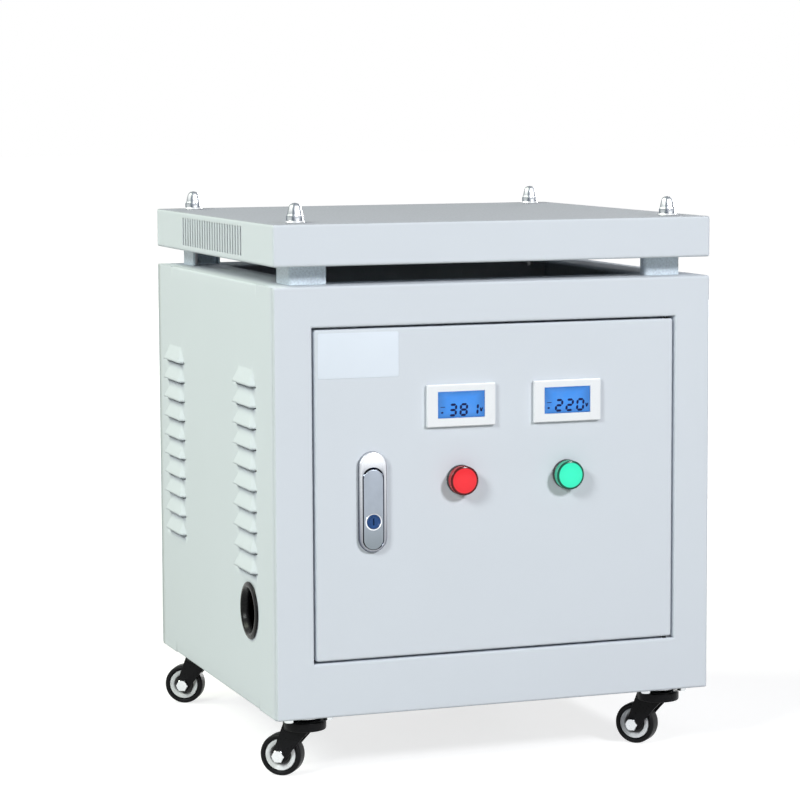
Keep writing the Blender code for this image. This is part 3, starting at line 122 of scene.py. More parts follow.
class CabinetSizes(bpy.types.PropertyGroup):
    """Sizes of the pieces that are made here."""

    sheet: length("Sheet", "Thickness of the folded sheet", 1.5)
    bend: length("Bend", "Outer radius of a fold", 2)
    flange: length("Flange", "Width of a side panel's folded edges", 62)
    fold_relief: length("Fold relief", "Notch between the straight strip and the fold", 1)
    seat_gap: length("Seat gap", "Gap between pieces that rest on each other", 0.3)
    louvre_length: length("Louvre length", "Length of a louvre at its open lip", 74)
    louvre_height: length("Louvre height", "Height of a louvre's hood", 16.5)
    louvre_rise: length("Louvre rise", "How far the open lip stands out", 6)
    louvre_slot: length("Louvre slot", "Open slot under the lip", 1.8)
    louvre_pitch: length("Louvre pitch", "Spacing of the louvres in a column", 21.5)
    louvre_drop: length("Louvre drop", "From the cabinet's top to the first louvre", 88.5)
    louvre_front_inset: length("Louvre front inset", "From the cabinet's front to the first column", 64)
    louvre_rear_inset: length("Louvre rear inset", "From the cabinet's rear to the last column", 37)
    louvre_rows: IntProperty(name="Louvre rows", description="Louvres in a column", default=10)
    louvre_taper: share("Louvre taper", "How much shorter a louvre is at its top", 0.3)
    louvre_shoulder: share("Louvre shoulder", "Sloped share of a louvre's length at each end", 0.09)
    plate_width: length("Plate width", "Width of the bare plate on the door", 86)
    plate_height: length("Plate height", "Height of the bare plate", 46)
    plate_inset: length("Plate inset", "From the door's corner to the plate", 1.5)
    plate_thickness: length("Plate thickness", "Thickness of the bare plate", 0.4)
    digit_height: length("Digit height", "Height of the figures on a display", 10.9)
    digit_width: length("Digit width", "Width of a figure", 6.6)
    digit_pitch: length("Digit pitch", "Spacing of the figures", 11.9)
    digit_stroke: length("Digit stroke", "Width of a stroke of a figure", 2.4)
    digit_drop: length("Digit drop", "How far the figures' middle is below the display's", 5.5)
    digit_place: length("Digit place", "From the display's middle to the last figure's", 14.6)
    digit_slant: share("Digit slant", "Sideways lean of the figures over their height", 0.08)
    input_reading: StringProperty(name="Input reading", description="Figures on the left display", default="381")
    output_reading: StringProperty(name="Output reading", description="Figures on the right one", default="220")


class CabinetColours(bpy.types.PropertyGroup):
    """Colours of the finishes."""

    paint: colour("Paint", "Pale grey powder coat of the sheet", (0.70, 0.74, 0.795))
    # cover_top is the coarser coat's colour, darkened as painted shade on the cover's upward face
    cover_top: colour("Cover top", "Coarser, darker coat on the cover's upper face", (0.43, 0.44, 0.5))
    zinc: colour("Zinc", "Bright plated fasteners", (0.72, 0.74, 0.76))
    # painted_dark_reflection is the colour of the painted dark reflections on the cap nuts' hexagon corners and crowns
    painted_dark_reflection: colour("Crease", "Dark creases and crowns of the cover's nuts", (0.13, 0.15, 0.19))
    post: colour("Post", "Speckled grey coat of the posts", (0.78, 0.88, 0.95))
    # chrome is the lock's bright metal, shown high on it as a painted highlight; shaded_chrome is painted shade lower
    # on it
    chrome: colour("Chrome", "Satin metal of the lock", (0.80, 0.82, 0.86))
    shaded_chrome: colour("Shaded chrome", "Satin metal low on the lock", (0.2, 0.21, 0.24))
    # shaded_flap is painted shade on the flip handle's lower part
    flap: colour("Flap", "Brushed metal of the flip handle", (0.305, 0.34, 0.395))
    shaded_flap: colour("Shaded flap", "Brushed metal low on the flip handle", (0.22, 0.25, 0.28))
    key: colour("Key", "Blue lacquer of the key cylinder", (0.012, 0.06, 0.20))
    rubber: colour("Rubber", "Grommet and tyres", (0.006, 0.006, 0.007))
    enamel: colour("Enamel", "Black coat of the forks and clamps", (0.006, 0.006, 0.007))
    case: colour("Case", "White plastic of the meters", (0.86, 0.875, 0.90))
    hub: colour("Hub", "Pale plastic of the wheels", (0.84, 0.85, 0.87))
    display: colour("Display", "Lit display", (0.014, 0.25, 0.83))
    ink: colour("Ink", "Figures on a display", (0.008, 0.014, 0.075))
    red: colour("Red", "Lit red lens", (0.93, 0.028, 0.04))
    green: colour("Green", "Lit green lens", (0.04, 0.95, 0.58))
    lamp_base: colour("Lamp base", "Dark plastic of the lamps", (0.018, 0.018, 0.02))
    plate: colour("Plate", "Bare plate on the door", (0.76, 0.82, 0.90))
    core: colour("Core", "Edges of the steel laminations", (0.10, 0.10, 0.11))
    coil: colour("Coil", "Wrapped coils", (0.40, 0.20, 0.07))
    board: colour("Board", "Brown terminal board", (0.16, 0.07, 0.03))
    terminal: colour("Terminal", "Black terminal block", (0.03, 0.03, 0.03))
    brass: colour("Brass", "Terminal screws", (0.66, 0.47, 0.18))


class CabinetStage(bpy.types.PropertyGroup):
    """Camera, lamps and floor."""

    camera_place: FloatVectorProperty(
        name="Camera place",
        description="Where the camera stands",
        default=(-1.0568, -2.8776, 0.6953),
        subtype="TRANSLATION",
    )
    camera_azimuth: angle("Camera azimuth", "How far the view turns from straight back to the right", 19.658)
    camera_fall: angle("Camera fall", "How far the view tips down", 6.181)
    camera_roll: angle("Camera roll", "How far the picture is turned", -0.27)
    focal_length: FloatProperty(
        name="Focal length",
        description="Lens for a sensor 36 mm wide",
        default=125.97,
        subtype="DISTANCE_CAMERA",
    )
    key_power: power("Key power", "Softbox up to the left of the door", 192)
    key_colour: colour("Key colour", "Tint of the left softbox", (0.95, 1.0, 0.99))
    rake_power: power("Rake power", "Softbox in front, up to the right", 250)
    rake_colour: colour("Rake colour", "Tint of the right softbox", (0.965, 0.97, 1.0))
    side_power: power("Side power", "Softbox that lights the left side", 262)
    side_colour: colour("Side colour", "Tint of the side softbox", (0.925, 1.0, 0.81))
    rear_power: power("Rear power", "Softbox that lights the rear and the right side", 185)
    ambient: share("Ambient", "Light that comes from all round", 0.02)
    floor_glow: share("Floor glow", "How much of the floor's white is its own beside the object", 0.74)


# Shapes


def axes_along(direction):
    """Three unit rows: one across the direction, one upwards across it, and the direction itself."""
    outward = np.array(direction, float)
    outward /= np.linalg.norm(outward)
    upward = np.array(UP if abs(outward[2]) < 0.9 else (0, 1, 0), float)
    across = np.cross(upward, outward)
    across /= np.linalg.norm(across)
    return np.stack([across, np.cross(outward, across), outward])


def softened(profile, radius, steps=4, closed=False):
    """A profile with round corners. Each corner becomes the curve (1-t)^2 a + 2t(1-t) b + t^2 c, where b is
    the corner and a and c lie the radius before and after it, or half way to the next corner if that is nearer.
    """
    points = np.asarray(profile, float)
    before, corner, after = np.roll(points, 1, axis=0), points, np.roll(points, -1, axis=0)
    if not closed:
        before, corner, after = before[1:-1], corner[1:-1], after[1:-1]

    def toward(other):
        gap = other - corner
        return corner + gap * np.minimum(radius / np.linalg.norm(gap, axis=1, keepdims=True), 0.5)

    t = np.linspace(0, 1, steps + 1)[None, :, None]
    curve = (1 - t) ** 2 * toward(before)[:, None] + 2 * t * (1 - t) * corner[:, None]
    curve = (curve + t**2 * toward(after)[:, None]).reshape(-1, 2)
    return curve if closed else np.vstack([points[:1], curve, points[-1:]])


def turned(profile, centre, direction, steps=64, hexagon=None):
    """Rows of a profile carried round an axis. At radius r, height h and angle a the point is centre + r cos(a)
    across + r sin(a) upward + h outward. Where a row's hexagon share is 1, r follows a hexagon's side,
    cos(30) / cos(a mod 60 - 30) in degrees.
    """
    radius, height = np.asarray(profile, float).T
    around = np.linspace(0, TAU, steps, endpoint=False)
    reach = np.repeat(radius[:, None], steps, axis=1)
    if hexagon is not None:
        side = math.cos(math.pi / 6) / np.cos(around % (math.pi / 3) - math.pi / 6)
        reach *= 1 + np.outer(hexagon, side - 1)
    level = np.repeat(height[:, None], steps, axis=1)
    local = np.stack([reach * np.cos(around), reach * np.sin(around), level], axis=-1)
    return local @ axes_along(direction) + centre


def lofted(rings, heights, centre, direction):
    """Rows of flat rings, each carried to its height along the direction: centre + x across + y upward + h outward."""
    rings = np.asarray(rings, float)
    level = np.repeat(np.asarray(heights, float)[:, None], rings.shape[1], axis=1)
    local = np.concatenate([rings, level[..., None]], axis=-1)
    return local @ axes_along(direction) + centre


def rounded_rectangle(half_width, half_height, corner, steps=32):
    """A ring of points: a circle of the corner's radius whose quarters are pushed out to the four corners."""
    around = (np.arange(steps) + 0.5) * TAU / steps
    x = corner * np.cos(around) + np.sign(np.cos(around)) * (half_width - corner)
    y = corner * np.sin(around) + np.sign(np.sin(around)) * (half_height - corner)
    return np.stack([x, y], axis=-1)


def stadium(half_width, half_length, steps=64):
    """A ring of points: a circle whose upper and lower halves are pushed apart."""
    return rounded_rectangle(half_width, half_length, half_width, steps)


def long_stadium(half_width, half_length, steps=32):
    """A ring of points: half a circle at the top, a straight side down, and the same turned upside down."""
    straight = half_length - half_width
    around = np.linspace(0, math.pi, steps)
    arc = np.stack([half_width * np.cos(around), straight + half_width * np.sin(around)], axis=-1)
    down = np.linspace(straight, -straight, steps)[1:-1]
    side = np.stack([np.full_like(down, -half_width), down], axis=-1)
    half = np.concatenate([arc, side])
    return np.concatenate([half, -half])


def circle_facing(ring, centre, radius):
    """A circle with one point on the line from its centre to each point of a ring round it."""
    gap = ring - centre
    return centre + radius * gap / np.linalg.norm(gap, axis=1, keepdims=True)


def shrunk(ring, inset):
    """A smooth ring moved inwards along its own normals, which lie across the chord of its two neighbours."""
    chord = np.roll(ring, -1, axis=0) - np.roll(ring, 1, axis=0)
    inward = np.stack([-chord[:, 1], chord[:, 0]], axis=-1)
    return ring + inset * inward / np.linalg.norm(inward, axis=1, keepdims=True)


def slab(outline, low, high, edge, centre, direction, steps=4, both=False):
    """Rows of a plate from height low to high. outline(inset) gives its ring, and its front edge, or both edges,
    turn over a quarter circle: at angle a the inset is edge (1 - cos a) and the height is edge sin a.
    """
    turn = np.linspace(0, math.pi / 2, steps + 1)
    insets = edge * (1 - np.cos(turn))
    heights = high - edge + edge * np.sin(turn)
    if both:
        insets = np.concatenate([insets[::-1], insets])
        heights = np.concatenate([low + high - heights[::-1], heights])
    else:
        insets = np.concatenate([[0], insets])
        heights = np.concatenate([[low], heights])
    return lofted([outline(inset) for inset in insets], heights, centre, direction)


# Meshes


def stack(rows, loop=False):
    """Points and faces of rows that go round: a quad between each point, its neighbour and the row above. A loop
    joins its last row to its first, and other stacks are closed by a flat face at each end.
    """
    rows = np.asarray(rows, float)
    count, around = rows.shape[:2]
    index = np.arange(count * around).reshape(count, around)
    beside = np.roll(index, -1, axis=1)
    quads = np.stack([index, beside, np.roll(beside, -1, axis=0), np.roll(index, -1, axis=0)], axis=-1)
    if loop:
        return rows.reshape(-1, 3), quads.reshape(-1, 4).tolist()
    faces = quads[:-1].reshape(-1, 4).tolist()
    return rows.reshape(-1, 3), faces + [index[0, ::-1].tolist(), index[-1].tolist()]


def joined(surfaces):
    """Points and faces of several surfaces as one."""
    points, faces = [], []
    for part_points, part_faces in surfaces:
        start = sum(len(part) for part in points)
        points.append(part_points)
        faces += [[corner + start for corner in face] for face in part_faces]
    return np.vstack(points), faces


def turn_outward(mesh):
    """Merges doubled points and turns the faces of closed shells outwards."""
    bm = bmesh.new()
    bm.from_mesh(mesh)
    bmesh.ops.remove_doubles(bm, verts=bm.verts, dist=WELD)
    bmesh.ops.recalc_face_normals(bm, faces=bm.faces)
    bm.to_mesh(mesh)
    bm.free()


def add_piece(name, body, surfaces, material, stands_for=(), sharp=35, band=None, closed=True):
    """A new piece that rides on a body. A band is a number at each point that its material can read."""
    points, faces = joined(surfaces)
    mesh = bpy.data.meshes.new(name)
    mesh.from_pydata(points.tolist(), [], faces)
    if band is not None:
        layer = mesh.attributes.new("band", "FLOAT", "POINT")
        layer.data.foreach_set("value", np.asarray(band, np.float32))
    if closed:
        turn_outward(mesh)
    mesh.shade_smooth()
    mesh.set_sharp_from_angle(angle=math.radians(sharp))
    mesh.materials.append(material)
    piece = bpy.data.objects.new(name, mesh)
    bpy.context.scene.collection.objects.link(piece)
    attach(piece, body)
    if stands_for:
        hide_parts(*stands_for)
    return piece


def finish_nodes(material, *names):
    """Gives CAD nodes a finish."""
    for name in names:
        for slot in frame["nodes"][name].material_slots:
            slot.material = material


# Finishes


def grain_group():
    """A shader group that puts out a mask of noise. Size is its scale in metres, and Stretch draws it out."""
    name = "Surface grain"
    if name in bpy.data.node_groups:
        return bpy.data.node_groups[name]
    group = bpy.data.node_groups.new(name, "ShaderNodeTree")
    group.interface.new_socket("Size", in_out="INPUT", socket_type="NodeSocketFloat")
    group.interface.new_socket("Stretch", in_out="INPUT", socket_type="NodeSocketVector")
    group.interface.new_socket("Mask", in_out="OUTPUT", socket_type="NodeSocketFloat")
    nodes, links = group.nodes, group.links
    given = nodes.new("NodeGroupInput")
    place = nodes.new("ShaderNodeTexCoord")
    drawn = nodes.new("ShaderNodeVectorMath")
    drawn.operation = "DIVIDE"
    scale = nodes.new("ShaderNodeMath")
    scale.operation = "DIVIDE"
    scale.inputs[0].default_value = 1
    noise = nodes.new("ShaderNodeTexNoise")
    noise.inputs["Detail"].default_value = 3
    result = nodes.new("NodeGroupOutput")
    links.new(place.outputs["Object"], drawn.inputs[0])
    links.new(given.outputs["Stretch"], drawn.inputs[1])
    links.new(given.outputs["Size"], scale.inputs[1])
    links.new(drawn.outputs["Vector"], noise.inputs["Vector"])
    links.new(scale.outputs["Value"], noise.inputs["Scale"])
    links.new(noise.outputs["Fac"], result.inputs["Mask"])
    return group


def add_grain(tree, size, stretch=(1, 1, 1)):
    """The mask of a grain group with its own values."""
    node = tree.nodes.new("ShaderNodeGroup")
    node.node_tree = grain_group()
    node.inputs["Size"].default_value = size
    node.inputs["Stretch"].default_value = stretch
    return node.outputs["Mask"]


def add_mix(tree, factor, low, high):
    """A colour that goes from low to high with a factor. Each may be a colour or another node's output."""
    node = tree.nodes.new("ShaderNodeMix")
    node.data_type = "RGBA"
    sockets = [socket for socket in node.inputs if socket.enabled]
    for socket, value in zip(sockets, (factor, low, high)):
        if isinstance(value, bpy.types.NodeSocket):
            tree.links.new(value, socket)
        else:
            socket.default_value = value
    return next(socket for socket in node.outputs if socket.enabled)


def add_range(tree, value, low, high, start=0.0, end=1.0):
    """A number that goes from low to high as a value goes from start to end."""
    node = tree.nodes.new("ShaderNodeMapRange")
    tree.links.new(value, node.inputs["Value"])
    node.inputs["From Min"].default_value = start
    node.inputs["From Max"].default_value = end
    node.inputs["To Min"].default_value = low
    node.inputs["To Max"].default_value = high
    return node.outputs["Result"]


def add_ramp(tree, value, stops):
    """A colour that follows a value through stops of (place, colour)."""
    node = tree.nodes.new("ShaderNodeValToRGB")
    tree.links.new(value, node.inputs["Fac"])
    elements = node.color_ramp.elements
    while len(elements) < len(stops):
        elements.new(0.5)
    for element, (place, shade) in zip(elements, stops):
        element.position = place
        element.color = shade
    return node.outputs["Color"]


def opaque(shade, factor=1.0):
    """A colour times a factor, with full alpha."""
    return (*(part * factor for part in shade), 1)


def add_band(tree):
    """The piece's own band value."""
    node = tree.nodes.new("ShaderNodeAttribute")
    node.attribute_name = "band"
    return node.outputs["Fac"]


def add_finish(name, shade, roughness, metallic=0.0, size=1 * MM, patch=60 * MM, spread=0.03, bump=0.0,
               edge=0.0, stretch=(1, 1, 1), **values):
    """A finish whose colour drifts in patches and whose gloss and relief follow a finer grain. roughness is the
    pair that the grain runs between, spread is the drift of the colour, bump is the height of the relief, and edge
    is the radius to which sharp edges are shaded.
    """
    if name in bpy.data.materials:
        return bpy.data.materials[name]
    material = bpy.data.materials.new(name)
    material.use_nodes = True
    tree = material.node_tree
    shader = tree.nodes["Principled BSDF"]
    fine = add_grain(tree, size, stretch)
    drift = add_mix(tree, add_grain(tree, patch), opaque(shade, 1 - spread), opaque(shade, 1 + spread))
    tree.links.new(drift, shader.inputs["Base Color"])
    tree.links.new(add_range(tree, fine, *roughness, 0.3, 0.7), shader.inputs["Roughness"])
    normal = shader.inputs["Normal"]
    if bump:
        relief = tree.nodes.new("ShaderNodeBump")
        relief.inputs["Distance"].default_value = bump
        tree.links.new(fine, relief.inputs["Height"])
        tree.links.new(relief.outputs["Normal"], normal)
        normal = relief.inputs["Normal"]
    if edge:
        rounded = tree.nodes.new("ShaderNodeBevel")
        rounded.samples = 6
        rounded.inputs["Radius"].default_value = edge
        tree.links.new(rounded.outputs["Normal"], normal)
    shader.inputs["Metallic"].default_value = metallic
    for socket, value in values.items():
        shader.inputs[socket.replace("_", " ")].default_value = value
    return material


def shade_by_band(material, low):
    """Mixes another colour into a finish where the piece's band is low."""
    tree = material.node_tree
    target = tree.nodes["Principled BSDF"].inputs["Base Color"]
    plain = target.links[0].from_socket
    tree.links.new(add_mix(tree, add_band(tree), low, plain), target)
    return material


def powder_coat(name, shade, edge):
    """Matt powder coat with a very fine peel, on sheet whose edges are round."""
    return add_finish(name, shade, (0.75, 0.88), size=1.2 * MM, patch=90 * MM, spread=0.012, bump=0.02 * MM,
                      edge=edge, Specular_IOR_Level=0.02)


def paint(context):
    """The sheet's own coat."""
    return powder_coat("Grey powder coat", context.scene.cabinet_colours.paint, 1.8 * MM)


def cover_coat(context):
    """The sheet's coat, with a coarser grain and painted shade, darker, where a face looks up."""
    colours = context.scene.cabinet_colours
    material = powder_coat("Cover powder coat", colours.paint, 2.8 * MM)
    tree = material.node_tree
    target = tree.nodes["Principled BSDF"].inputs["Base Color"]
    plain = target.links[0].from_socket
    face = tree.nodes.new("ShaderNodeNewGeometry")
    parts = tree.nodes.new("ShaderNodeSeparateXYZ")
    tree.links.new(face.outputs["True Normal"], parts.inputs[0])
    # Faces that look up get the coarser coat, darkened as painted shade
    upward = add_range(tree, parts.outputs["Z"], 0, 1, 0.7, 0.95)
    coarse_grain_and_painted_shade = add_mix(tree, add_grain(tree, 2.5 * MM), opaque(colours.cover_top, 0.8), opaque(colours.cover_top, 1.2))
    tree.links.new(add_mix(tree, upward, plain, coarse_grain_and_painted_shade), target)
    return material


def zinc(context):
    """Bright plated steel."""
    shade = context.scene.cabinet_colours.zinc
    return add_finish("Bright zinc", shade, (0.16, 0.3), 1.0, size=3 * MM, patch=8 * MM, spread=0.08)


def black_enamel(context):
    """Glossy black coat on pressed steel."""
    shade = context.scene.cabinet_colours.enamel
    return add_finish("Black enamel", shade, (0.25, 0.36), size=2 * MM, patch=20 * MM, spread=0.2,
                      bump=0.02 * MM, Specular_IOR_Level=0.1)


def streaked(name, shade, roughness, stretch, spread=0.05):
    """Brushed metal, drawn out along the axis whose stretch is greatest."""
    return add_finish(name, shade, roughness, 1.0, size=0.35 * MM, patch=12 * MM, spread=spread,
                      bump=0.01 * MM, stretch=stretch)


# Operators, one for each piece or group of like pieces


class CABINET_OT_paint_shell(bpy.types.Operator):
    """Coats the frame, the rear, the base, the cover, the door and the posts"""

    bl_idname = "cabinet.paint_shell"
    bl_label = "Paint the shell"

    def execute(self, context):
        colours = context.scene.cabinet_colours
        finish_nodes(paint(context), "front_frame", "rear_panel", "base_plate", "door_panel")
        finish_nodes(cover_coat(context), "top_cover")
        speckled = add_finish("Speckled grey coat", colours.post, (0.3, 0.5), size=1.6 * MM, patch=2.2 * MM,
                              spread=0.3, bump=0.15 * MM)
        finish_nodes(speckled, *(f"cover_post_{corner}" for corner in CORNERS))
        finish_nodes(black_enamel(context), "hinge_pin_top", "hinge_pin_bottom")
        finish_nodes(zinc(context), "lock_tongue")
        return {"FINISHED"}


class CABINET_OT_press_sides(bpy.types.Operator):
    """Presses both louvred side panels out of sheet"""

    bl_idname = "cabinet.press_sides"
    bl_label = "Press the side panels"

    def execute(self, context):
        sizes = context.scene.cabinet_sizes
        for side, outward in (("left", -1), ("right", 1)):
            node = f"{side}_side_panel"
            points, faces = side_sheet(sizes, node, outward)
            piece = add_piece(f"{side}_side", "cabinet", [(points, faces)], paint(context),
                              [node], sharp=19, closed=False)
            wall = piece.modifiers.new("Sheet", "SOLIDIFY")
            wall.thickness = sizes.sheet
            wall.offset = -1
            wall.use_even_offset = True
        return {"FINISHED"}


def steps_between(stops, step):
    """Sorted places that hold every stop, with the gaps filled so that none is wider than a step."""
    stops = np.unique(np.round(stops, 7))
    runs = [np.linspace(low, high, max(2, math.ceil((high - low) / step) + 1)) for low, high in zip(stops, stops[1:])]
    return np.unique(np.round(np.concatenate(runs), 7))


def side_sheet(sizes, node, outward):
    """Points and faces of a side panel's outer skin, a grid of places along y and along the folded height.

    The web is flat. A louvre's hood stands out by rise v min(u, 1 - u, shoulder) / shoulder, where u runs along the
    louvre and v down it, and its ends draw in towards the top by the taper. The slot under each lip is left out.
    Above and below the web the skin turns a quarter circle into the flanges, except in the strips at both ends,
    which stay straight beside the front and rear panels' own flanges. On the left a square ring of the grid is
    drawn into the round cable hole.
    """
    low, high = box_of(node)
    front, rear = low[1], high[1]
    base, top = low[2], high[2]
    face = outward * frame_half_width()
    cabinet_front, fold_front = box_of("front_frame")[0][1], box_of("front_frame")[1][1] + sizes.seat_gap
    cabinet_rear, fold_rear = box_of("rear_panel")[1][1], box_of("rear_panel")[0][1] - sizes.seat_gap
    starts = np.array([
        cabinet_front + sizes.louvre_front_inset,
        cabinet_rear - sizes.louvre_rear_inset - sizes.louvre_length,
    ])
    tops = top - sizes.louvre_drop - sizes.louvre_pitch * np.arange(sizes.louvre_rows)
    lips = tops - sizes.louvre_height
    hole = middle_of("cable_grommet")[1:]
    hole_radius = hole_size() / 2
    hole_ring = hole_radius + 6 * MM
    square = np.array([-hole_ring, -hole_radius * 0.75, hole_radius * 0.75, hole_ring])
    shoulder = sizes.louvre_shoulder
    along = np.concatenate([np.linspace(0, shoulder, 5), np.linspace(shoulder, 1 - shoulder, 9)[1:-1],
                            np.linspace(1 - shoulder, 1, 5)])
    y_stops = [front, fold_front - sizes.fold_relief, fold_front, fold_rear, fold_rear + sizes.fold_relief, rear]
    y_stops = np.concatenate([y_stops, *(start + sizes.louvre_length * along for start in starts)])
    web_low, web_high = base + sizes.bend, top - sizes.bend
    down = np.linspace(0, 1, 9)
    z_stops = np.concatenate([[web_low, web_high], (tops[:, None] - sizes.louvre_height * down).ravel()])
    z_stops = np.concatenate([z_stops, lips - sizes.louvre_slot])
    if outward < 0:
        y_stops = np.concatenate([y_stops, hole[0] + square])
        z_stops = np.concatenate([z_stops, hole[1] + square])
    y = steps_between(y_stops, 12 * MM)
    web = steps_between(z_stops, 14 * MM)

    quarter = np.linspace(0, math.pi / 2, 6)[1:]
    bend_in = sizes.bend * (1 - np.cos(quarter))
    bend_up = sizes.bend * np.sin(quarter)
    flange = sizes.bend + (sizes.flange - sizes.bend) * np.linspace(0, 1, 4)[1:]
    fold_in = np.concatenate([bend_in, flange])
    fold_up = np.concatenate([bend_up, np.full(len(flange), sizes.bend)])
    inset = np.concatenate([fold_in[::-1], np.zeros(len(web)), fold_in])
    z = np.concatenate([web_low - fold_up[::-1], web, web_high + fold_up])
    fold = np.arange(len(z)) < len(fold_in)
    fold |= fold[::-1]
    flange_row = np.arange(len(z)) < len(flange)
    flange_row |= flange_row[::-1]

    height, place = np.meshgrid(z, y, indexing="ij")
    folded = (place > fold_front - WELD) & (place < fold_rear + WELD)
    depth = np.where(folded, inset[:, None], 0)
    rise = np.zeros_like(height)
    shift = np.zeros_like(height)
    for start in starts:
        u = (place - start) / sizes.louvre_length
        for louvre_top in tops:
            v = (louvre_top - height) / sizes.louvre_height
            inside = (np.abs(u - 0.5) < 0.5 + NEAR) & (np.abs(v - 0.5) < 0.5 + NEAR)
            swell = np.clip(v, 0, 1) * np.clip(np.minimum(u, 1 - u) / shoulder, 0, 1)
            rise = np.where(inside, sizes.louvre_rise * swell, rise)
            draw = sizes.louvre_taper * (1 - np.clip(v, 0, 1)) * (0.5 - u) * sizes.louvre_length
            shift = np.where(inside, draw, shift)
    moved_y, moved_z = place + shift, height
    if outward < 0:
        moved_y, moved_z = round_hole(moved_y, moved_z, hole, hole_radius, square)
    x = face + outward * (rise - depth)
    points = np.stack([x, moved_y, moved_z], axis=-1).reshape(-1, 3)

    index = np.arange(len(z) * len(y)).reshape(len(z), len(y))
    quads = np.stack([index[:-1, :-1], index[:-1, 1:], index[1:, 1:], index[1:, :-1]], axis=-1)
    if outward < 0:
        quads = quads[..., ::-1]
    middle_y, middle_z = np.meshgrid((y[:-1] + y[1:]) / 2, (z[:-1] + z[1:]) / 2)
    kept = np.ones(quads.shape[:2], bool)
    for start in starts:
        within = (middle_y > start) & (middle_y < start + sizes.louvre_length)
        for lip in lips:
            kept &= ~(within & (middle_z < lip) & (middle_z > lip - sizes.louvre_slot))
    bent = (fold[:-1] | fold[1:])[:, None]
    flat = (flange_row[:-1] | flange_row[1:])[:, None]
    relief = (middle_y < fold_front) & (middle_y > fold_front - sizes.fold_relief)
    relief |= (middle_y > fold_rear) & (middle_y < fold_rear + sizes.fold_relief)
    strip = (middle_y < fold_front) | (middle_y > fold_rear)
    kept &= ~(bent & relief)
    kept &= ~(flat & strip)
    if outward < 0:
        near = np.maximum(np.abs(middle_y - hole[0]), np.abs(middle_z - hole[1]))
        kept &= near > square[2]
    return points, quads[kept].tolist()


def frame_half_width():
    """Half the cabinet's width, from the front frame."""
    low, high = box_of("front_frame")
    return (high[0] - low[0]) / 2


def hole_size():
    """Diameter of the cable hole, a little less than the grommet's flange."""
    low, high = box_of("cable_grommet")
    return (high[2] - low[2]) * 0.85


def round_hole(y, z, hole, radius, square):
    """Draws a square ring of a grid into a circle. With m the greater of the two distances from the hole's
    middle, a point on the inner square goes to the circle, one on the outer square stays, and those between mix.
    """
    gap = np.stack([y - hole[0], z - hole[1]])
    reach = np.maximum(*np.abs(gap))
    inner, outer = square[2], square[3]
    share_out = np.clip((reach - inner) / (outer - inner), 0, 1)
    distance = np.maximum(np.hypot(*gap), WELD)
    near = (reach > inner - WELD) & (reach < outer + WELD)
    drawn = (1 - share_out) * radius * gap / distance + share_out * gap
    gap = np.where(near, drawn, gap)
    return gap[0] + hole[0], gap[1] + hole[1]


class CABINET_OT_fit_grommet(bpy.types.Operator):
    """Fits the rubber grommet in the left side"""

    bl_idname = "cabinet.fit_grommet"
    bl_label = "Fit the grommet"

    def execute(self, context):
        low, high = box_of("cable_grommet")
        sizes = context.scene.cabinet_sizes
        face = -frame_half_width()
        centre = np.array([face, *middle_of("cable_grommet")[1:]])
        flange = (high[2] - low[2]) / 2
        proud = face - low[0]
        behind = high[0] - face
        bore = 0.7 * flange
        groove = hole_size() / 2 - 0.3 * MM
        back = -sizes.sheet - 0.3 * MM
        profile = [
            (flange, 0.3 * MM),
            (flange, proud * 0.6),
            (flange - 4 * MM, proud),
            (bore + 3 * MM, proud * 0.8),
            (bore, -behind * 0.4),
            (bore, -behind),
            (flange - 2 * MM, -behind),
            (flange - 2 * MM, back),
            (groove, back),
            (groove, 0.3 * MM),
        ]
        rows = turned(softened(profile, 2 * MM, closed=True), centre, LEFT, 72)
        shade = context.scene.cabinet_colours.rubber
        rubber = add_finish("Glossy rubber", shade, (0.22, 0.34), size=2 * MM, patch=15 * MM, spread=0.2,
                            bump=0.03 * MM, Specular_IOR_Level=0.12)
        add_piece("grommet", "cabinet", [stack(rows, loop=True)], rubber, ["cable_grommet"])
        return {"FINISHED"}


class CABINET_OT_fit_cover_nuts(bpy.types.Operator):
    """Fits a stud, a washer and a dome nut in each corner of the cover"""

    bl_idname = "cabinet.fit_cover_nuts"
    bl_label = "Fit the cover's nuts"

    def execute(self, context):
        cover_top = box_of("top_cover")[1][2]
        plated = nut_plating(context)
        steps = 72
        # Mask of the painted dark reflection stripes at the hexagon's corners
        painted_dark_reflection = np.clip(np.abs(np.cos(3 * np.linspace(0, TAU, steps, endpoint=False))) * 4 - 3, 0, 1)
        for corner in CORNERS:
            node = f"cover_stud_{corner}"
            low, high = box_of(node)
            centre = np.array([*middle_of(node)[:2], cover_top])
            washer = (high[0] - low[0]) / 2
            total = high[2] - cover_top
            tail = (low[2] - cover_top) / total
            radius, height, hexagon, bright = np.array([(0.45, tail, 0, 1), *NUT_PROFILE]).T
            profile = np.stack([radius * washer, height * total], axis=-1)
            points = turned(profile, centre, UP, steps, hexagon)
            # Painted reflections: each row's brightness, dimmed in stripes at the hexagon's corners
            band = bright[:, None] * (1 - np.outer(np.minimum(1.7 * hexagon, 1), painted_dark_reflection))
            add_piece(f"cap_nut_{corner}", "cabinet", [stack(points)], plated, [node], sharp=28,
                      band=band.ravel())
        return {"FINISHED"}


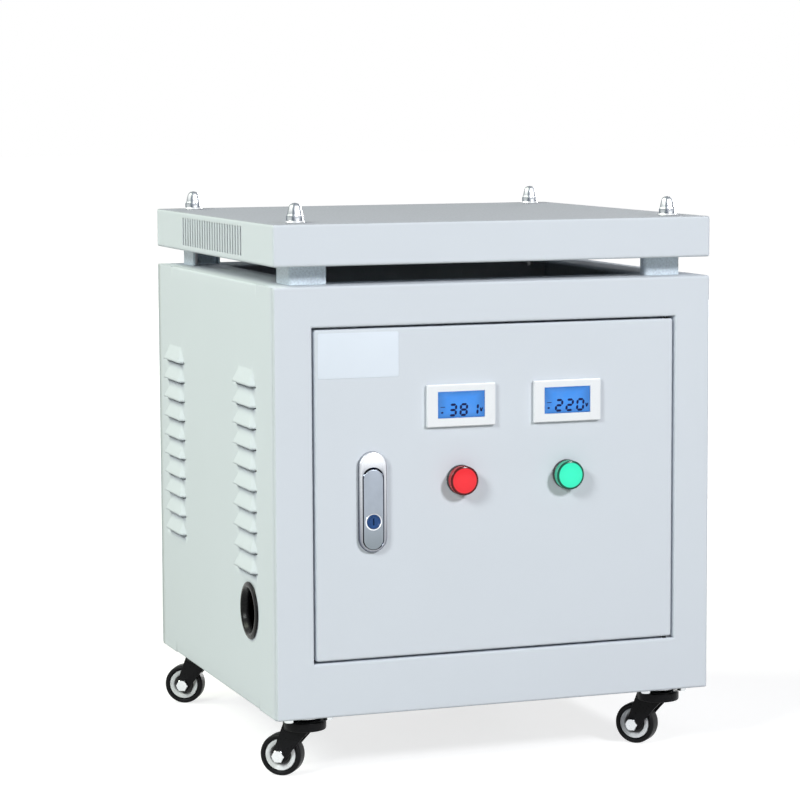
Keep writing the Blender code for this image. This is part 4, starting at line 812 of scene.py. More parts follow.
# A cap nut on its washer: radius as a share of the washer's, height as a share of the nut's, how far the row
# follows a hexagon, and how bright its painted reflection is, from 1 for bright plating to 0 for painted dark
NUT_PROFILE = (
    (0.45, 0.015, 0, 1),
    (0.98, 0.015, 0, 1),
    (0.98, 0.04, 0, 1),
    (0.90, 0.11, 0, 1),
    (0.90, 0.12, 0.5, 0.2),
    (0.95, 0.14, 1, 0.75),
    (0.95, 0.30, 1, 0.6),
    (0.94, 0.35, 1, 0.2),
    (0.90, 0.37, 0.8, 1),
    (0.83, 0.43, 0.6, 1),
    (0.80, 0.47, 0.6, 0.6),
    (0.74, 0.64, 0.6, 1),
    (0.63, 0.83, 0.5, 0.9),
    (0.47, 0.93, 0.3, 0.1),
    (0.25, 0.98, 0, 0),
    (0.04, 1, 0, 0),
)


def nut_plating(context):
    """Plating with painted reflections: bright, and dark and dull where the band is low, in painted dark stripes at a
    nut's hexagon corners and on its crown.
    """
    colours = context.scene.cabinet_colours
    material = add_finish("Cap nut plating", colours.zinc, (0.26, 0.4), size=3 * MM, patch=8 * MM, spread=0.08)
    tree = material.node_tree
    shine = add_range(tree, add_band(tree), 0, 1, 0.3, 0.9)
    tree.links.new(shine, tree.nodes["Principled BSDF"].inputs["Metallic"])
    return shade_by_band(material, opaque(colours.painted_dark_reflection))


class CABINET_OT_fit_meters(bpy.types.Operator):
    """Fits the two panel meters with their lit displays and figures"""

    bl_idname = "cabinet.fit_meters"
    bl_label = "Fit the meters"

    def execute(self, context):
        sizes = context.scene.cabinet_sizes
        colours = context.scene.cabinet_colours
        case = add_finish("White plastic", colours.case, (0.25, 0.4), size=1 * MM, patch=25 * MM, spread=0.015,
                          bump=0.01 * MM)
        ink = add_finish("Display ink", colours.ink, (0.4, 0.6), size=1 * MM, patch=3 * MM, spread=0.1,
                         Specular_IOR_Level=0.1)
        lit = lit_display(colours.display)
        for name, reading in (("input", sizes.input_reading), ("output", sizes.output_reading)):
            finish_nodes(case, f"{name}_meter_case")
            node = f"{name}_meter_display"
            low, high = box_of(node)
            half = (high - low) / 2
            face = np.array([(low[0] + high[0]) / 2, low[1], (low[2] + high[2]) / 2])
            shares = np.array([1, 1, 0.97, 0.9, 0.75, 0.5, 0.25, 0.02])
            ring = rounded_rectangle(half[0], half[2], 0.6 * MM)
            heights = [-(high[1] - low[1]), -0.2 * MM, 0, 0, 0, 0, 0, 0]
            rows = lofted(shares[:, None, None] * ring, heights, face, FRONT)
            add_piece(f"{name}_display", "door", [stack(rows)], lit, [node],
                      band=np.repeat(shares, len(ring)))
            marks = reading_marks(sizes, reading, face, half)
            add_piece(f"{name}_figures", "door", marks, ink)
        return {"FINISHED"}


def lit_display(shade):
    """A lit blue panel, paler in its middle and darker towards its edge."""
    name = "Lit display"
    if name in bpy.data.materials:
        return bpy.data.materials[name]
    material = bpy.data.materials.new(name)
    material.use_nodes = True
    tree = material.node_tree
    shader = tree.nodes["Principled BSDF"]
    stops = [(0, opaque(shade, 1.12)), (0.6, opaque(shade)), (1, opaque(shade, 0.6))]
    glow = add_ramp(tree, add_band(tree), stops)
    cloud = add_grain(tree, 14 * MM)
    glow = add_mix(tree, add_range(tree, cloud, 0, 0.35, 0.45, 0.7), glow, opaque((0.09, 0.29, 0.75)))
    tree.links.new(glow, shader.inputs["Emission Color"])
    shader.inputs["Emission Strength"].default_value = 0.85
    tree.links.new(add_range(tree, cloud, 0.08, 0.14), shader.inputs["Roughness"])
    shader.inputs["Base Color"].default_value = opaque(shade, 0.15)
    return material


def bar(start, end, stroke, width_share=1.0):
    """A stroke from start to end as a flat ring of six points with pointed ends."""
    start, end = np.array(start, float), np.array(end, float)
    way = (end - start) / np.linalg.norm(end - start)
    side = np.array([-way[1], way[0]]) * stroke * width_share / 2
    tip = way * stroke / 2
    return np.stack([start, start + tip + side, end - tip + side, end, end - tip - side, start + tip - side])


# The seven strokes of a figure between corners given as (across, up) from -1 to 1, and the strokes of each figure
STROKES = {
    "a": ((-1, 1), (1, 1)),
    "b": ((1, 1), (1, 0)),
    "c": ((1, 0), (1, -1)),
    "d": ((-1, -1), (1, -1)),
    "e": ((-1, 0), (-1, -1)),
    "f": ((-1, 1), (-1, 0)),
    "g": ((-1, 0), (1, 0)),
}
FIGURES = {
    "0": "abcdef",
    "1": "bc",
    "2": "abged",
    "3": "abgcd",
    "4": "fgbc",
    "5": "afgcd",
    "6": "afgedc",
    "7": "abc",
    "8": "abcdefg",
    "9": "abcdfg",
}


def reading_marks(sizes, reading, face, half):
    """Thin plates for a reading's figures, for the unit's V behind them, and for two small signs at the left."""
    corner = np.array([sizes.digit_width, sizes.digit_height]) / 2
    gap = 0.12 * sizes.digit_stroke
    first = sizes.digit_place - sizes.digit_pitch * (len(reading) - 1)
    rings = []
    for place, figure in enumerate(reading):
        middle = np.array([first + place * sizes.digit_pitch, -sizes.digit_drop])
        for stroke in FIGURES[figure]:
            start, end = (np.array(point) * corner for point in STROKES[stroke])
            way = (end - start) / np.linalg.norm(end - start)
            rings.append(middle + bar(start + way * gap, end - way * gap, sizes.digit_stroke))
    unit = np.array([half[0] * 0.86, -sizes.digit_drop - 0.05 * sizes.digit_height])
    small = sizes.digit_height * 0.2
    for side in (-1, 1):
        rings.append(unit + bar((0, -small), (side * small * 0.6, small), sizes.digit_stroke * 0.55))
    sign = np.array([-half[0] * 0.82, -sizes.digit_drop + 0.1 * sizes.digit_height])
    rings.append(sign + bar((-small, small), (small * 1.4, small), sizes.digit_stroke * 0.3))
    rings.append(sign + bar((-small * 0.6, -small * 1.6), (small * 0.8, -small * 1.6), sizes.digit_stroke * 0.8))
    thin = np.array([0.03, 0.12]) * MM
    marks = []
    for ring in rings:
        lean = ring.copy()
        lean[:, 0] += sizes.digit_slant * (ring[:, 1] + sizes.digit_drop)
        marks.append(stack(lofted([lean, lean], thin, face, FRONT)))
    return marks


class CABINET_OT_fit_lamps(bpy.types.Operator):
    """Fits the red and the green pilot lamp"""

    bl_idname = "cabinet.fit_lamps"
    bl_label = "Fit the lamps"

    def execute(self, context):
        colours = context.scene.cabinet_colours
        dark = add_finish("Dark plastic", colours.lamp_base, (0.2, 0.35), size=1 * MM, patch=10 * MM, spread=0.1)
        for name, shade in (("red", colours.red), ("green", colours.green)):
            body, lens = f"{name}_lamp_body", f"{name}_lamp_lens"
            low, high = box_of(body)
            lens_low, lens_high = box_of(lens)
            door = box_of("door_panel")[0][1]
            centre = np.array([middle_of(body)[0], door, middle_of(body)[2]])
            ring = (high[0] - low[0]) / 2
            ring_height = door - low[1]
            depth = door - high[1]
            barrel = ring * 0.72
            base = [
                (1 * MM, ring_height),
                (ring - 0.8 * MM, ring_height),
                (ring, ring_height - 0.8 * MM),
                (ring, 0.3 * MM),
                (barrel, 0.3 * MM),
                (barrel, -1.8 * MM),
                (ring * 0.92, -1.8 * MM),
                (ring * 0.92, -6.8 * MM),
                (barrel, -6.8 * MM),
                (barrel, depth),
                (1 * MM, depth),
            ]
            rows = turned(softened(base, 0.5 * MM), centre, FRONT, 72)
            add_piece(f"{name}_lamp_base", "door", [stack(rows)], dark, [body])
            radius = ring - 0.1 * MM
            reach = door - lens_low[1]
            foot = door - lens_high[1]
            # Radius, height and band: the band marks the skirt, the rim with its painted shade, and the face
            rows = [
                (1 * MM, foot, 0.0),
                (radius - 0.5 * MM, foot, 0.0),
                (radius - 0.3 * MM, foot + 0.4 * MM, 0.1),
                (radius - 0.3 * MM, reach - 2.4 * MM, 0.4),
                (radius, reach - 1.6 * MM, 0.55),
                (radius - 0.8 * MM, reach - 0.9 * MM, 0.6),
                (radius - 1.9 * MM, reach - 0.7 * MM, 0.65),
                (radius - 2.5 * MM, reach - 0.5 * MM, 0.75),
                (radius * 0.5, reach - 0.15 * MM, 0.9),
                (1 * MM, reach, 1.0),
            ]
            profile = np.array(rows)
            points = turned(profile[:, :2], centre, FRONT, 72)
            add_piece(f"{name}_lens", "door", [stack(points)], lit_lens(name, shade), [lens],
                      band=np.repeat(profile[:, 2], 72))
        return {"FINISHED"}


def lit_lens(name, shade):
    """A lit lens: a pale skirt, a rim darkened with painted shade, and a bright face, told apart by its band."""
    material = bpy.data.materials.new(f"{name.capitalize()} lens")
    material.use_nodes = True
    tree = material.node_tree
    shader = tree.nodes["Principled BSDF"]
    band = add_band(tree)
    skirt = tuple(0.5 * part + 0.05 for part in shade)
    stops = [
        (0.0, opaque(shade, 0.1)),
        (0.12, opaque(skirt)),
        (0.45, opaque(skirt)),
        # From 0.52 to 0.66 the rim: painted shade on the lens's round edge
        (0.52, opaque(shade, 0.1)),
        (0.66, opaque(shade, 0.1)),
        (0.74, opaque(shade, 0.25)),
        (1.0, opaque(shade, 0.25)),
    ]
    tree.links.new(add_ramp(tree, band, stops), shader.inputs["Base Color"])
    glow = [
        (0.0, opaque(shade, 0)),
        (0.2, opaque(skirt, 0.3)),
        (0.45, opaque(skirt, 0.3)),
        (0.52, opaque(shade, 0)),
        (0.66, opaque(shade, 0)),
        (0.74, opaque(shade, 0.9)),
        (1.0, opaque(shade)),
    ]
    tree.links.new(add_ramp(tree, band, glow), shader.inputs["Emission Color"])
    shader.inputs["Emission Strength"].default_value = 0.8
    shader.inputs["Specular IOR Level"].default_value = 0.25
    tree.links.new(add_range(tree, add_grain(tree, 2 * MM), 0.1, 0.2), shader.inputs["Roughness"])
    return material


class CABINET_OT_fit_lock(bpy.types.Operator):
    """Fits the lock's housing, its flip handle and its key cylinder"""

    bl_idname = "cabinet.fit_lock"
    bl_label = "Fit the lock"

    def execute(self, context):
        colours = context.scene.cabinet_colours
        chrome_with_painted_light = shaded_chrome(colours)
        brushed = streaked("Brushed flap", colours.flap, (0.3, 0.42), (1, 1, 20), 0.1)
        shade_by_band(brushed, opaque(colours.shaded_flap))
        door = box_of("door_panel")[0][1]
        handle_low, handle_high = box_of("lock_handle")
        key_low, key_high = box_of("lock_cylinder")
        housing_low, housing_high = box_of("lock_housing")
        pivot = joint_place("handle_flip")
        face_y = handle_low[1]
        x = middle_of("lock_housing")[0]
        flap_middle = np.array([x, face_y, (handle_low[2] + handle_high[2]) / 2])
        flap_half = np.array([10.7 * MM, (handle_high[2] - handle_low[2]) / 2])
        key_radius = (key_high[0] - key_low[0]) / 2
        key_middle = np.array([0, middle_of("lock_cylinder")[2] - flap_middle[2]])
        self.fit_housing(chrome_with_painted_light, housing_low, housing_high, flap_middle, flap_half, door)
        self.fit_handle(brushed, flap_middle, flap_half, key_middle, key_radius, pivot)
        key_face = np.array([x, face_y, middle_of("lock_cylinder")[2]])
        self.fit_collar(chrome_with_painted_light, key_face, key_radius)
        self.fit_key(context, key_face, key_radius)
        return {"FINISHED"}

    def fit_housing(self, material, low, high, flap_middle, flap_half, door):
        """Rows from the rear of the pocket, over the wall, the bezel and its round edge, into the pocket."""
        centre = np.array([flap_middle[0], door, (low[2] + high[2]) / 2])
        half = (high - low) / 2
        offset = np.array([0, flap_middle[2] - centre[2]])
        face = door - low[1]
        room = offset + np.array([-0.3 * MM, 0.6 * MM])
        pocket = room + stadium(flap_half[0] + 0.6 * MM, flap_half[1] + 1.4 * MM)
        wall = offset + stadium(flap_half[0] + 2 * MM, flap_half[1] + 2 * MM)
        edge = 2.6 * MM
        turn = np.linspace(0, math.pi / 2, 6)
        rings = [wall, wall]
        heights = [door - high[1], 0.3 * MM]
        rings.append(stadium(half[0], half[2]))
        heights.append(0.3 * MM)
        rings += [stadium(half[0] - edge * (1 - math.cos(a)), half[2] - edge * (1 - math.cos(a))) for a in turn]
        heights += [face - edge + edge * math.sin(a) for a in turn]
        lip = room + stadium(flap_half[0] + 0.9 * MM, flap_half[1] + 1.7 * MM)
        rings += [lip, pocket, pocket]
        heights += [face, face - 0.3 * MM, door - high[1] + 2 * MM]
        rows = lofted(rings, heights, centre, FRONT)
        # Painted light: the band is a painted highlight at the housing's top and falls to grey painted shade lower
        # down; seen scales it per ring, with a dark painted line round the outer edge and black painted shade in the
        # pocket
        up = np.clip((rows[..., 2] - low[2]) / (high[2] - low[2]), 0, 1)
        up = 0.15 + 0.85 * np.clip(6 * up - 4.8, 0, 1)
        seen = np.array([1, 1, 0.2, *np.linspace(0.3, 1, len(turn)), 1, 0, 0])
        add_piece("lock_case", "door", [stack(rows)], material, ["lock_housing"],
                  band=(up * seen[:, None]).ravel())

    def fit_handle(self, material, middle, half, key_middle, key_radius, pivot):
        """A plate with a round edge, a hole for the key cylinder with a boss behind it, and its pivot pin."""
        thickness, edge = 4 * MM, 1 * MM
        hole = key_radius + 0.3 * MM
        boss = hole + 2 * MM
        outline = long_stadium(*half)
        turn = np.linspace(0, math.pi / 2, 5)
        rings = [circle_facing(outline, key_middle, hole), circle_facing(outline, key_middle, boss),
                 circle_facing(outline, key_middle, boss), outline]
        heights = [-thickness - 9 * MM, -thickness - 9 * MM, -thickness, -thickness]
        rings += [long_stadium(*(half - edge * (1 - math.cos(a)))) for a in turn]
        heights += [edge * (math.sin(a) - 1) for a in turn]
        rings += [circle_facing(outline, key_middle, hole + 1.4 * MM), circle_facing(outline, key_middle, hole)]
        heights += [0, -1.4 * MM]
        rows = lofted(rings, heights, middle, FRONT)
        plate = stack(rows, loop=True)
        reach = half[0] + 3 * MM
        profile = [(0.2 * MM, -reach), (1.5 * MM, -reach), (1.5 * MM, reach), (0.2 * MM, reach)]
        pin = stack(turned(profile, pivot, RIGHT, 24))
        # Band: painted shade darkens the flap towards its lower part; the pin stays fully bright
        up = np.clip((rows[..., 2].ravel() - middle[2]) / half[1] + 0.9, 0, 1)
        band = np.concatenate([up, np.ones(len(pin[0]))])
        add_piece("flip_handle", "handle", [plate, pin], material, ["lock_handle"], band=band)

    def fit_collar(self, material, face, radius):
        """A ring set in the chamfer round the key, with a painted highlight that is brightest at its foot."""
        inner = radius + 0.25 * MM
        outer = inner + 1.4 * MM
        profile = [(inner, -1.8 * MM), (inner, 0.1 * MM), (inner + 0.2 * MM, 0.3 * MM),
                   (outer - 0.3 * MM, 0.3 * MM), (outer, 0), (outer, -0.5 * MM)]
        rows = turned(profile, face, FRONT, 48)
        # foot is the painted highlight's strength, highest at the ring's foot
        foot = np.clip(0.75 - 0.4 * (rows[..., 2] - face[2]) / radius, 0.3, 1)
        add_piece("key_collar", "handle", [stack(rows, loop=True)], material, band=foot.ravel())

    def fit_key(self, context, face, radius):
        """A lacquered cylinder whose face has a raised rim, a sunk floor and a key slot."""
        low, high = box_of("lock_cylinder")
        proud, depth = face[1] - low[1], face[1] - high[1]
        lacquer = add_finish("Blue lacquer", context.scene.cabinet_colours.key, (0.25, 0.36), size=2 * MM,
                             patch=5 * MM, spread=0.3, Specular_IOR_Level=0.3)
        circle = stadium(1, 1, 48)
        slot = rounded_rectangle(0.7 * MM, 3.6 * MM, 0.6 * MM, 48)
        rings = [circle * radius, circle * radius, circle * (radius - 0.5 * MM), circle * (radius - 1.3 * MM),
                 circle * (radius - 2 * MM), slot, slot]
        heights = [depth + 2 * MM, proud - 0.5 * MM, proud, proud, proud - 0.7 * MM, proud - 0.7 * MM,
                   proud - 3 * MM]
        add_piece("key_cylinder", "cylinder", [stack(lofted(rings, heights, face, FRONT))], lacquer,
                  ["lock_cylinder"])


def shaded_chrome(colours):
    """Satin metal with painted light: its band takes it from black painted shade in its recesses, through grey painted
    shade at its walls, to a bright painted highlight.
    """
    material = streaked("Satin chrome", colours.chrome, (0.24, 0.36), (1, 1, 6))
    tree = material.node_tree
    stops = [(0, opaque(colours.ink)), (0.15, opaque(colours.shaded_chrome)), (1, opaque(colours.chrome))]
    return shade_by_band(material, add_ramp(tree, add_band(tree), stops))


class CABINET_OT_fix_plate(bpy.types.Operator):
    """Fixes the bare plate in the door's upper left corner"""

    bl_idname = "cabinet.fix_plate"
    bl_label = "Fix the bare plate"

    def execute(self, context):
        sizes = context.scene.cabinet_sizes
        low, high = box_of("door_panel")
        half = np.array([sizes.plate_width, sizes.plate_height]) / 2
        reach = sizes.plate_inset + sizes.bend
        centre = np.array([low[0] + reach + half[0], low[1], high[2] - reach - half[1]])
        rows = slab(lambda inset: rounded_rectangle(*(half - inset), 2 * MM), 0, sizes.plate_thickness,
                    0.15 * MM, centre, FRONT)
        shade = context.scene.cabinet_colours.plate
        bare = add_finish("Bare plate", shade, (0.3, 0.4), size=0.4 * MM, patch=30 * MM, spread=0.02,
                          stretch=(12, 1, 1))
        add_piece("bare_plate", "door", [stack(rows)], bare)
        return {"FINISHED"}


class CABINET_OT_fit_casters(bpy.types.Operator):
    """Fits a swivel caster under each corner"""

    bl_idname = "cabinet.fit_casters"
    bl_label = "Fit the casters"

    def execute(self, context):
        colours = context.scene.cabinet_colours
        enamel = black_enamel(context)
        tyre = add_finish("Tyre rubber", colours.rubber, (0.35, 0.5), size=1.5 * MM, patch=12 * MM, spread=0.25,
                          bump=0.04 * MM, Specular_IOR_Level=0.12)
        hub = wheel_plastic(colours)
        for corner in CORNERS:
            swivel = joint_place(f"swivel_{corner}_turn")
            axle = joint_place(f"wheel_{corner}_roll")
            trail = (axle - swivel) * (1, 1, 0)
            trail /= np.linalg.norm(trail)
            self.fit_plate(corner, swivel, enamel, zinc(context))
            self.fit_fork(corner, swivel, axle, trail, enamel)
            self.fit_wheel(corner, axle, np.cross(UP, trail), tyre, hub, zinc(context))
        return {"FINISHED"}

    def fit_plate(self, corner, swivel, enamel, bright):
        """A top plate with round corners, and a bright race, a kingpin and four bolts under it."""
        node = f"caster_plate_{corner}"
        low, high = box_of(node)
        half = (high - low) / 2
        top = high[2] - swivel[2]
        plate = slab(lambda inset: rounded_rectangle(half[0] - inset, half[1] - inset, 6 * MM), top - 2.5 * MM, top,
                     0.4 * MM, swivel, UP, both=True)
        add_piece(f"top_plate_{corner}", "cabinet", [stack(plate)], enamel, [node])
        race_low = top - 6.5 * MM
        crown = box_of(f"caster_fork_{corner}")[1][2] - swivel[2]
        head = crown - 2.8 * MM
        profile = [
            (0.5 * MM, top - 2.6 * MM),
            (20 * MM, top - 2.6 * MM),
            (19.4 * MM, top - 4.4 * MM),
            (17 * MM, race_low),
            (4 * MM, race_low),
            (4 * MM, head),
            (7 * MM, head),
            (7 * MM, low[2] - swivel[2]),
            (0.5 * MM, low[2] - swivel[2]),
        ]
        parts = [stack(turned(softened(profile, 0.8 * MM), swivel, UP, 72))]
        bolt = [(0.5 * MM, 0, 0), (5.5 * MM, 0, 1), (5.5 * MM, -3 * MM, 1), (4.6 * MM, -3.6 * MM, 0),
                (0.5 * MM, -3.6 * MM, 0)]
        radius, height, hexagon = np.array(bolt).T
        for x in (8 * MM - half[0], half[0] - 8 * MM):
            for y in (8 * MM - half[1], half[1] - 8 * MM):
                seat = swivel + np.array([x, y, top - 2.55 * MM])
                parts.append(stack(turned(np.stack([radius, height], axis=-1), seat, UP, 36, hexagon)))
        add_piece(f"race_{corner}", "cabinet", parts, bright)

    def fit_fork(self, corner, swivel, axle, trail, enamel):
        """A cupped crown, and two legs whose outline sweeps from the crown's chord to a round eye at the axle."""
        node = f"caster_fork_{corner}"
        crown_top = box_of(node)[1][2] - swivel[2]
        outer, hole, sheet = 22.5 * MM, 4.3 * MM, 2.5 * MM
        low = crown_top - 10 * MM
        profile = [
            (hole, crown_top),
            (outer, crown_top),
            (outer, low),
            (outer - sheet, low),
            (outer - sheet, crown_top - sheet),
            (hole, crown_top - sheet),
        ]
        crown = stack(turned(softened(profile, 2.4 * MM, closed=True), swivel, UP, 72), loop=True)
        across = np.cross(UP, trail)
        reach = np.linalg.norm((axle - swivel)[:2])
        drop = axle[2] - swivel[2]
        outline = fork_outline(reach, drop, crown_top - sheet * 0.6, 18.6 * MM, 8 * MM)
        legs = []
        for side in (-1, 1):
            rows = slab(lambda inset: shrunk(outline, inset), 10.1 * MM, 12.5 * MM, 0.6 * MM, swivel,
                        side * across, both=True)
            flat = rows - swivel
            legs.append(stack(turn_upright(outline, flat, swivel, trail, side * across)))
        add_piece(f"fork_{corner}", f"swivel_{corner}", [crown, *legs], enamel, [node])

    def fit_wheel(self, corner, axle, across, tyre, hub, bright):
        """A tyre with round shoulders, a dished hub and a bolt with two hexagon heads."""
        tyre_low, tyre_high = box_of(f"caster_tyre_{corner}")
        radius = axle[2] - tyre_low[2]
        half = 8.5 * MM
        rim = radius - 5.6 * MM
        profile = [(rim, -half), (radius, -half), (radius, half), (rim, half)]
        rows = turned(softened(profile, 3.4 * MM, 6, closed=True), axle, across, 72)
        add_piece(f"tyre_{corner}", f"wheel_{corner}", [stack(rows, loop=True)], tyre,
                  [f"caster_tyre_{corner}"])
        dish = [(3.3 * MM, 9.6 * MM), (7 * MM, 9.6 * MM), (8 * MM, 4 * MM), (10.5 * MM, 4 * MM),
                (11.6 * MM, 7.2 * MM), (rim - 0.2 * MM, 7.8 * MM)]
        profile = dish + [(across_radius, -height) for across_radius, height in reversed(dish)]
        rows = turned(softened(profile, 0.7 * MM, closed=True), axle, across, 72)
        # Band: 0 within about 10 mm of the axle, where painted shade darkens the recess under the fork's eye, and 1 on
        # the pale rim
        away = np.linalg.norm((rows - axle) - ((rows - axle) @ across)[..., None] * across, axis=-1)
        band = np.clip((away - 10.2 * MM) / (1 * MM), 0, 1)
        add_piece(f"hub_{corner}", f"wheel_{corner}", [stack(rows, loop=True)], hub,
                  [f"caster_hub_{corner}"], band=band.ravel())
        corner_radius = 12 * MM / math.sqrt(3)
        head = [(0.5 * MM, 17.3 * MM, 0), (corner_radius * 0.85, 17.3 * MM, 0), (corner_radius, 16.5 * MM, 1),
                (corner_radius, 12.8 * MM, 1), (3 * MM, 12.8 * MM, 0)]
        profile = np.array(head + [(r, -h, share_) for r, h, share_ in reversed(head)])
        rows = turned(profile[:, :2], axle, across, 72, profile[:, 2])
        add_piece(f"axle_{corner}", f"swivel_{corner}", [stack(rows)], bright, [f"caster_axle_{corner}"])


def wheel_plastic(colours):
    """Pale plastic, with painted shade: black round the axle where the band is 0, in the recess under the fork's eye.
    """
    material = add_finish("Pale wheel plastic", colours.hub, (0.35, 0.5), size=1.5 * MM, patch=10 * MM, spread=0.05)
    return shade_by_band(material, opaque(colours.enamel))


def fork_outline(reach, drop, root, chord, eye):
    """A ring in the plane of a leg, trail across and height upward: along the crown's chord, down a hollow
    curve to the eye, round the eye, and straight up its trailing edge.
    """
    top = np.stack([np.linspace(chord, -chord, 12), np.full(12, root)], axis=-1)
    lead = np.array([-chord, root])
    start = math.radians(215)
    end = math.radians(365)
    around = np.linspace(start, end, 24)
    eye_ring = np.stack([reach + eye * np.cos(around), drop + eye * np.sin(around)], axis=-1)
    t = np.linspace(0, 1, 16)[1:-1, None]
    pull = (lead + eye_ring[0]) / 2 + np.array([3.5 * MM, 1.5 * MM])
    sweep = (1 - t) ** 2 * lead + 2 * t * (1 - t) * pull + t**2 * eye_ring[0]
    rise = eye_ring[-1] + (top[0] - eye_ring[-1]) * np.linspace(0, 1, 8)[1:-1, None]
    return np.concatenate([top, sweep, eye_ring, rise])


def turn_upright(outline, flat, swivel, trail, across):
    """Rows of a slab laid along an axle, with their ring's first axis along the trail and its second upwards."""
    axes = axes_along(across)
    local = flat @ axes.T
    return local[..., :1] * trail + local[..., 1:2] * np.array(UP) + local[..., 2:] * across + swivel


class CABINET_OT_finish_transformer(bpy.types.Operator):
    """Finishes the transformer inside: core, coils, clamps and terminals"""

    bl_idname = "cabinet.finish_transformer"
    bl_label = "Finish the transformer"

    def execute(self, context):
        colours = context.scene.cabinet_colours
        core = add_finish("Laminated steel", colours.core, (0.4, 0.6), 0.6, size=0.5 * MM, patch=9 * MM, spread=0.15,
                          bump=0.1 * MM, stretch=(60, 1, 60))
        coil = add_finish("Coil wrap", colours.coil, (0.3, 0.45), size=6 * MM, patch=18 * MM, spread=0.15,
                          bump=0.4 * MM, stretch=(12, 12, 1))
        board = add_finish("Brown board", colours.board, (0.3, 0.45), size=1 * MM, patch=12 * MM, spread=0.1,
                           stretch=(8, 1, 1))
        block = add_finish("Black plastic", colours.terminal, (0.35, 0.5), size=1 * MM, patch=12 * MM, spread=0.1)
        finish_nodes(core, "core")
        finish_nodes(coil, "coil_left", "coil_middle", "coil_right")
        finish_nodes(board, "terminal_board")
        finish_nodes(block, "terminal_block")
        clamps = [f"{level}_clamp_{end}" for level in ("lower", "upper") for end in ("front", "rear")]
        finish_nodes(black_enamel(context), *clamps)
        self.fit_screws(colours)
        return {"FINISHED"}

    def fit_screws(self, colours):
        """Two round-headed screws in each bay of the terminal block."""
        low, high = box_of("terminal_block")
        brass = add_finish("Brass", colours.brass, (0.25, 0.4), 1.0, size=1 * MM, patch=5 * MM, spread=0.1)
        bays = 8
        pitch = 30 * MM
        floor = low[2] + 12 * MM
        profile = [(0.4 * MM, 0), (5 * MM, 0), (5 * MM, 2 * MM), (4 * MM, 3 * MM), (0.4 * MM, 3.2 * MM)]
        middle = (low + high) / 2
        screws = []
        for bay in range(bays):
            for way in (-1, 1):
                x = middle[0] + (bay - (bays - 1) / 2) * pitch
                place = np.array([x, middle[1] + way * 8 * MM, floor + 0.02 * MM])
                screws.append(stack(turned(profile, place, UP, 24)))
        add_piece("terminal_screws", "cabinet", screws, brass)


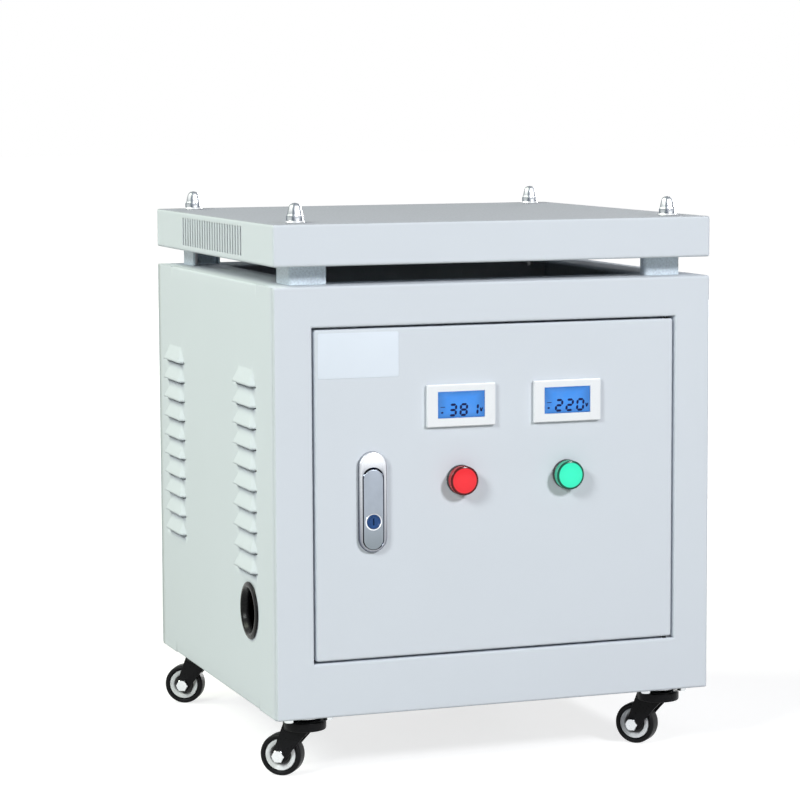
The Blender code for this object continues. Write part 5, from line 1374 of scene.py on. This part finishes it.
class CABINET_OT_set_stage(bpy.types.Operator):
    """Sets the camera, the lamps, the floor and the white surroundings"""

    bl_idname = "cabinet.set_stage"
    bl_label = "Set the stage"

    def execute(self, context):
        stage = context.scene.cabinet_stage
        self.set_camera(context.scene, stage)
        target = np.array([0, 0, 0.3])
        self.add_lamp("key", target, (-0.71, -0.51, 0.48), 6.4, 1.4, stage.key_power, stage.key_colour)
        self.add_lamp("rake", target, (0.36, -0.79, 0.5), 6.4, 1.0, stage.rake_power, stage.rake_colour)
        self.add_lamp("side", target, (-0.62, 0.2, 0.76), 6.4, 3.0, stage.side_power, stage.side_colour)
        self.add_lamp("rear", target, (0.62, 0.77, 0.12), 6.4, 2.4, stage.rear_power, (1, 1, 1))
        self.add_floor(stage)
        self.set_world(context.scene, stage)
        context.scene.view_settings.view_transform = "Standard"
        return {"FINISHED"}

    def set_camera(self, scene, stage):
        """The camera's axes follow from its two angles, and the roll turns them about the line of sight."""
        turn, fall, roll = stage.camera_azimuth, stage.camera_fall, stage.camera_roll
        ahead = np.array([math.sin(turn) * math.cos(fall), math.cos(turn) * math.cos(fall), -math.sin(fall)])
        right = np.array([math.cos(turn), -math.sin(turn), 0])
        upward = np.cross(right, ahead)
        right, upward = (
            math.cos(roll) * right + math.sin(roll) * upward,
            math.cos(roll) * upward - math.sin(roll) * right,
        )
        matrix = np.eye(4)
        matrix[:3, :3] = np.stack([right, upward, -ahead], axis=1)
        matrix[:3, 3] = stage.camera_place
        data = bpy.data.cameras.new("camera")
        data.sensor_width = 36
        data.lens = stage.focal_length
        data.clip_end = 40
        camera = bpy.data.objects.new("camera", data)
        scene.collection.objects.link(camera)
        camera.matrix_world = Matrix(matrix.tolist())
        scene.camera = camera

    def add_lamp(self, name, target, direction, distance, size, watts, tint):
        """A square softbox at a distance along a direction, facing the target."""
        data = bpy.data.lights.new(name, "AREA")
        data.size = size
        data.energy = watts
        data.color = tint
        lamp = bpy.data.objects.new(name, data)
        bpy.context.scene.collection.objects.link(lamp)
        across, upward, outward = axes_along(direction)
        matrix = np.eye(4)
        matrix[:3, :3] = np.stack([across, upward, outward], axis=1)
        matrix[:3, 3] = target + distance * outward
        lamp.matrix_world = Matrix(matrix.tolist())

    def add_floor(self, stage):
        """A wide pale floor. To the camera and in reflections part of its white is its own light, and far from the
        object all of it.
        """
        reach = 30
        points = np.array([(-reach, -reach, 0), (reach, -reach, 0), (reach, reach, 0), (-reach, reach, 0)])
        mesh = bpy.data.meshes.new("floor")
        mesh.from_pydata(points.tolist(), [], [(0, 1, 2, 3)])
        floor = bpy.data.objects.new("floor", mesh)
        bpy.context.scene.collection.objects.link(floor)
        material = bpy.data.materials.new("Pale floor")
        material.use_nodes = True
        tree = material.node_tree
        shader = tree.nodes["Principled BSDF"]
        shader.inputs["Base Color"].default_value = (0.45, 0.45, 0.45, 1)
        shader.inputs["Roughness"].default_value = 0.9
        shader.inputs["Specular IOR Level"].default_value = 0
        place = tree.nodes.new("ShaderNodeTexCoord")
        away = tree.nodes.new("ShaderNodeVectorMath")
        away.operation = "LENGTH"
        tree.links.new(place.outputs["Object"], away.inputs[0])
        glow = tree.nodes.new("ShaderNodeMath")
        glow.operation = "MULTIPLY"
        tree.links.new(add_range(tree, away.outputs["Value"], stage.floor_glow, 1.0, 0.9, 2.2), glow.inputs[0])
        tree.links.new(self.seen_light(tree, 1.0, 0.0), glow.inputs[1])
        tree.links.new(glow.outputs["Value"], shader.inputs["Emission Strength"])
        shader.inputs["Emission Color"].default_value = (1, 1, 1, 1)
        mesh.materials.append(material)

    def seen_light(self, tree, seen, unseen):
        """A strength for what the camera, mirrors and glass see, and another for what lights the object."""
        path = tree.nodes.new("ShaderNodeLightPath")
        total = path.outputs["Is Camera Ray"]
        for ray in ("Is Glossy Ray", "Is Transmission Ray"):
            plus = tree.nodes.new("ShaderNodeMath")
            plus.operation = "ADD"
            plus.use_clamp = True
            tree.links.new(total, plus.inputs[0])
            tree.links.new(path.outputs[ray], plus.inputs[1])
            total = plus.outputs["Value"]
        return add_range(tree, total, unseen, seen)

    def set_world(self, scene, stage):
        """White all round to the camera, and a plain soft light on the object."""
        world = bpy.data.worlds.new("surroundings")
        world.use_nodes = True
        tree = world.node_tree
        background = tree.nodes["Background"]
        background.inputs["Color"].default_value = (1, 1, 1, 1)
        tree.links.new(self.seen_light(tree, 1.0, stage.ambient), background.inputs["Strength"])
        scene.world = world


OPERATORS = (
    CABINET_OT_paint_shell,
    CABINET_OT_press_sides,
    CABINET_OT_fit_grommet,
    CABINET_OT_fit_cover_nuts,
    CABINET_OT_fit_meters,
    CABINET_OT_fit_lamps,
    CABINET_OT_fit_lock,
    CABINET_OT_fix_plate,
    CABINET_OT_fit_casters,
    CABINET_OT_finish_transformer,
    CABINET_OT_set_stage,
)


class CABINET_PT_panel(bpy.types.Panel):
    """Lists the cabinet's pieces in the order they are made"""

    bl_idname = "CABINET_PT_panel"
    bl_label = "Transformer cabinet"
    bl_space_type = "VIEW_3D"
    bl_region_type = "UI"
    bl_category = "Cabinet"

    def draw(self, context):
        for operator in OPERATORS:
            self.layout.operator(operator.bl_idname)


GROUPS = {"cabinet_sizes": CabinetSizes, "cabinet_colours": CabinetColours, "cabinet_stage": CabinetStage}


def register():
    for group in (*GROUPS.values(), *OPERATORS, CABINET_PT_panel):
        bpy.utils.register_class(group)
    for name, group in GROUPS.items():
        setattr(bpy.types.Scene, name, PointerProperty(type=group))


def unregister():
    for name in GROUPS:
        delattr(bpy.types.Scene, name)
    for group in (CABINET_PT_panel, *reversed(OPERATORS), *GROUPS.values()):
        bpy.utils.unregister_class(group)


def main():
    register()
    for operator in OPERATORS:
        family, name = operator.bl_idname.split(".")
        getattr(getattr(bpy.ops, family), name)()


if __name__ == "__main__":
    main()
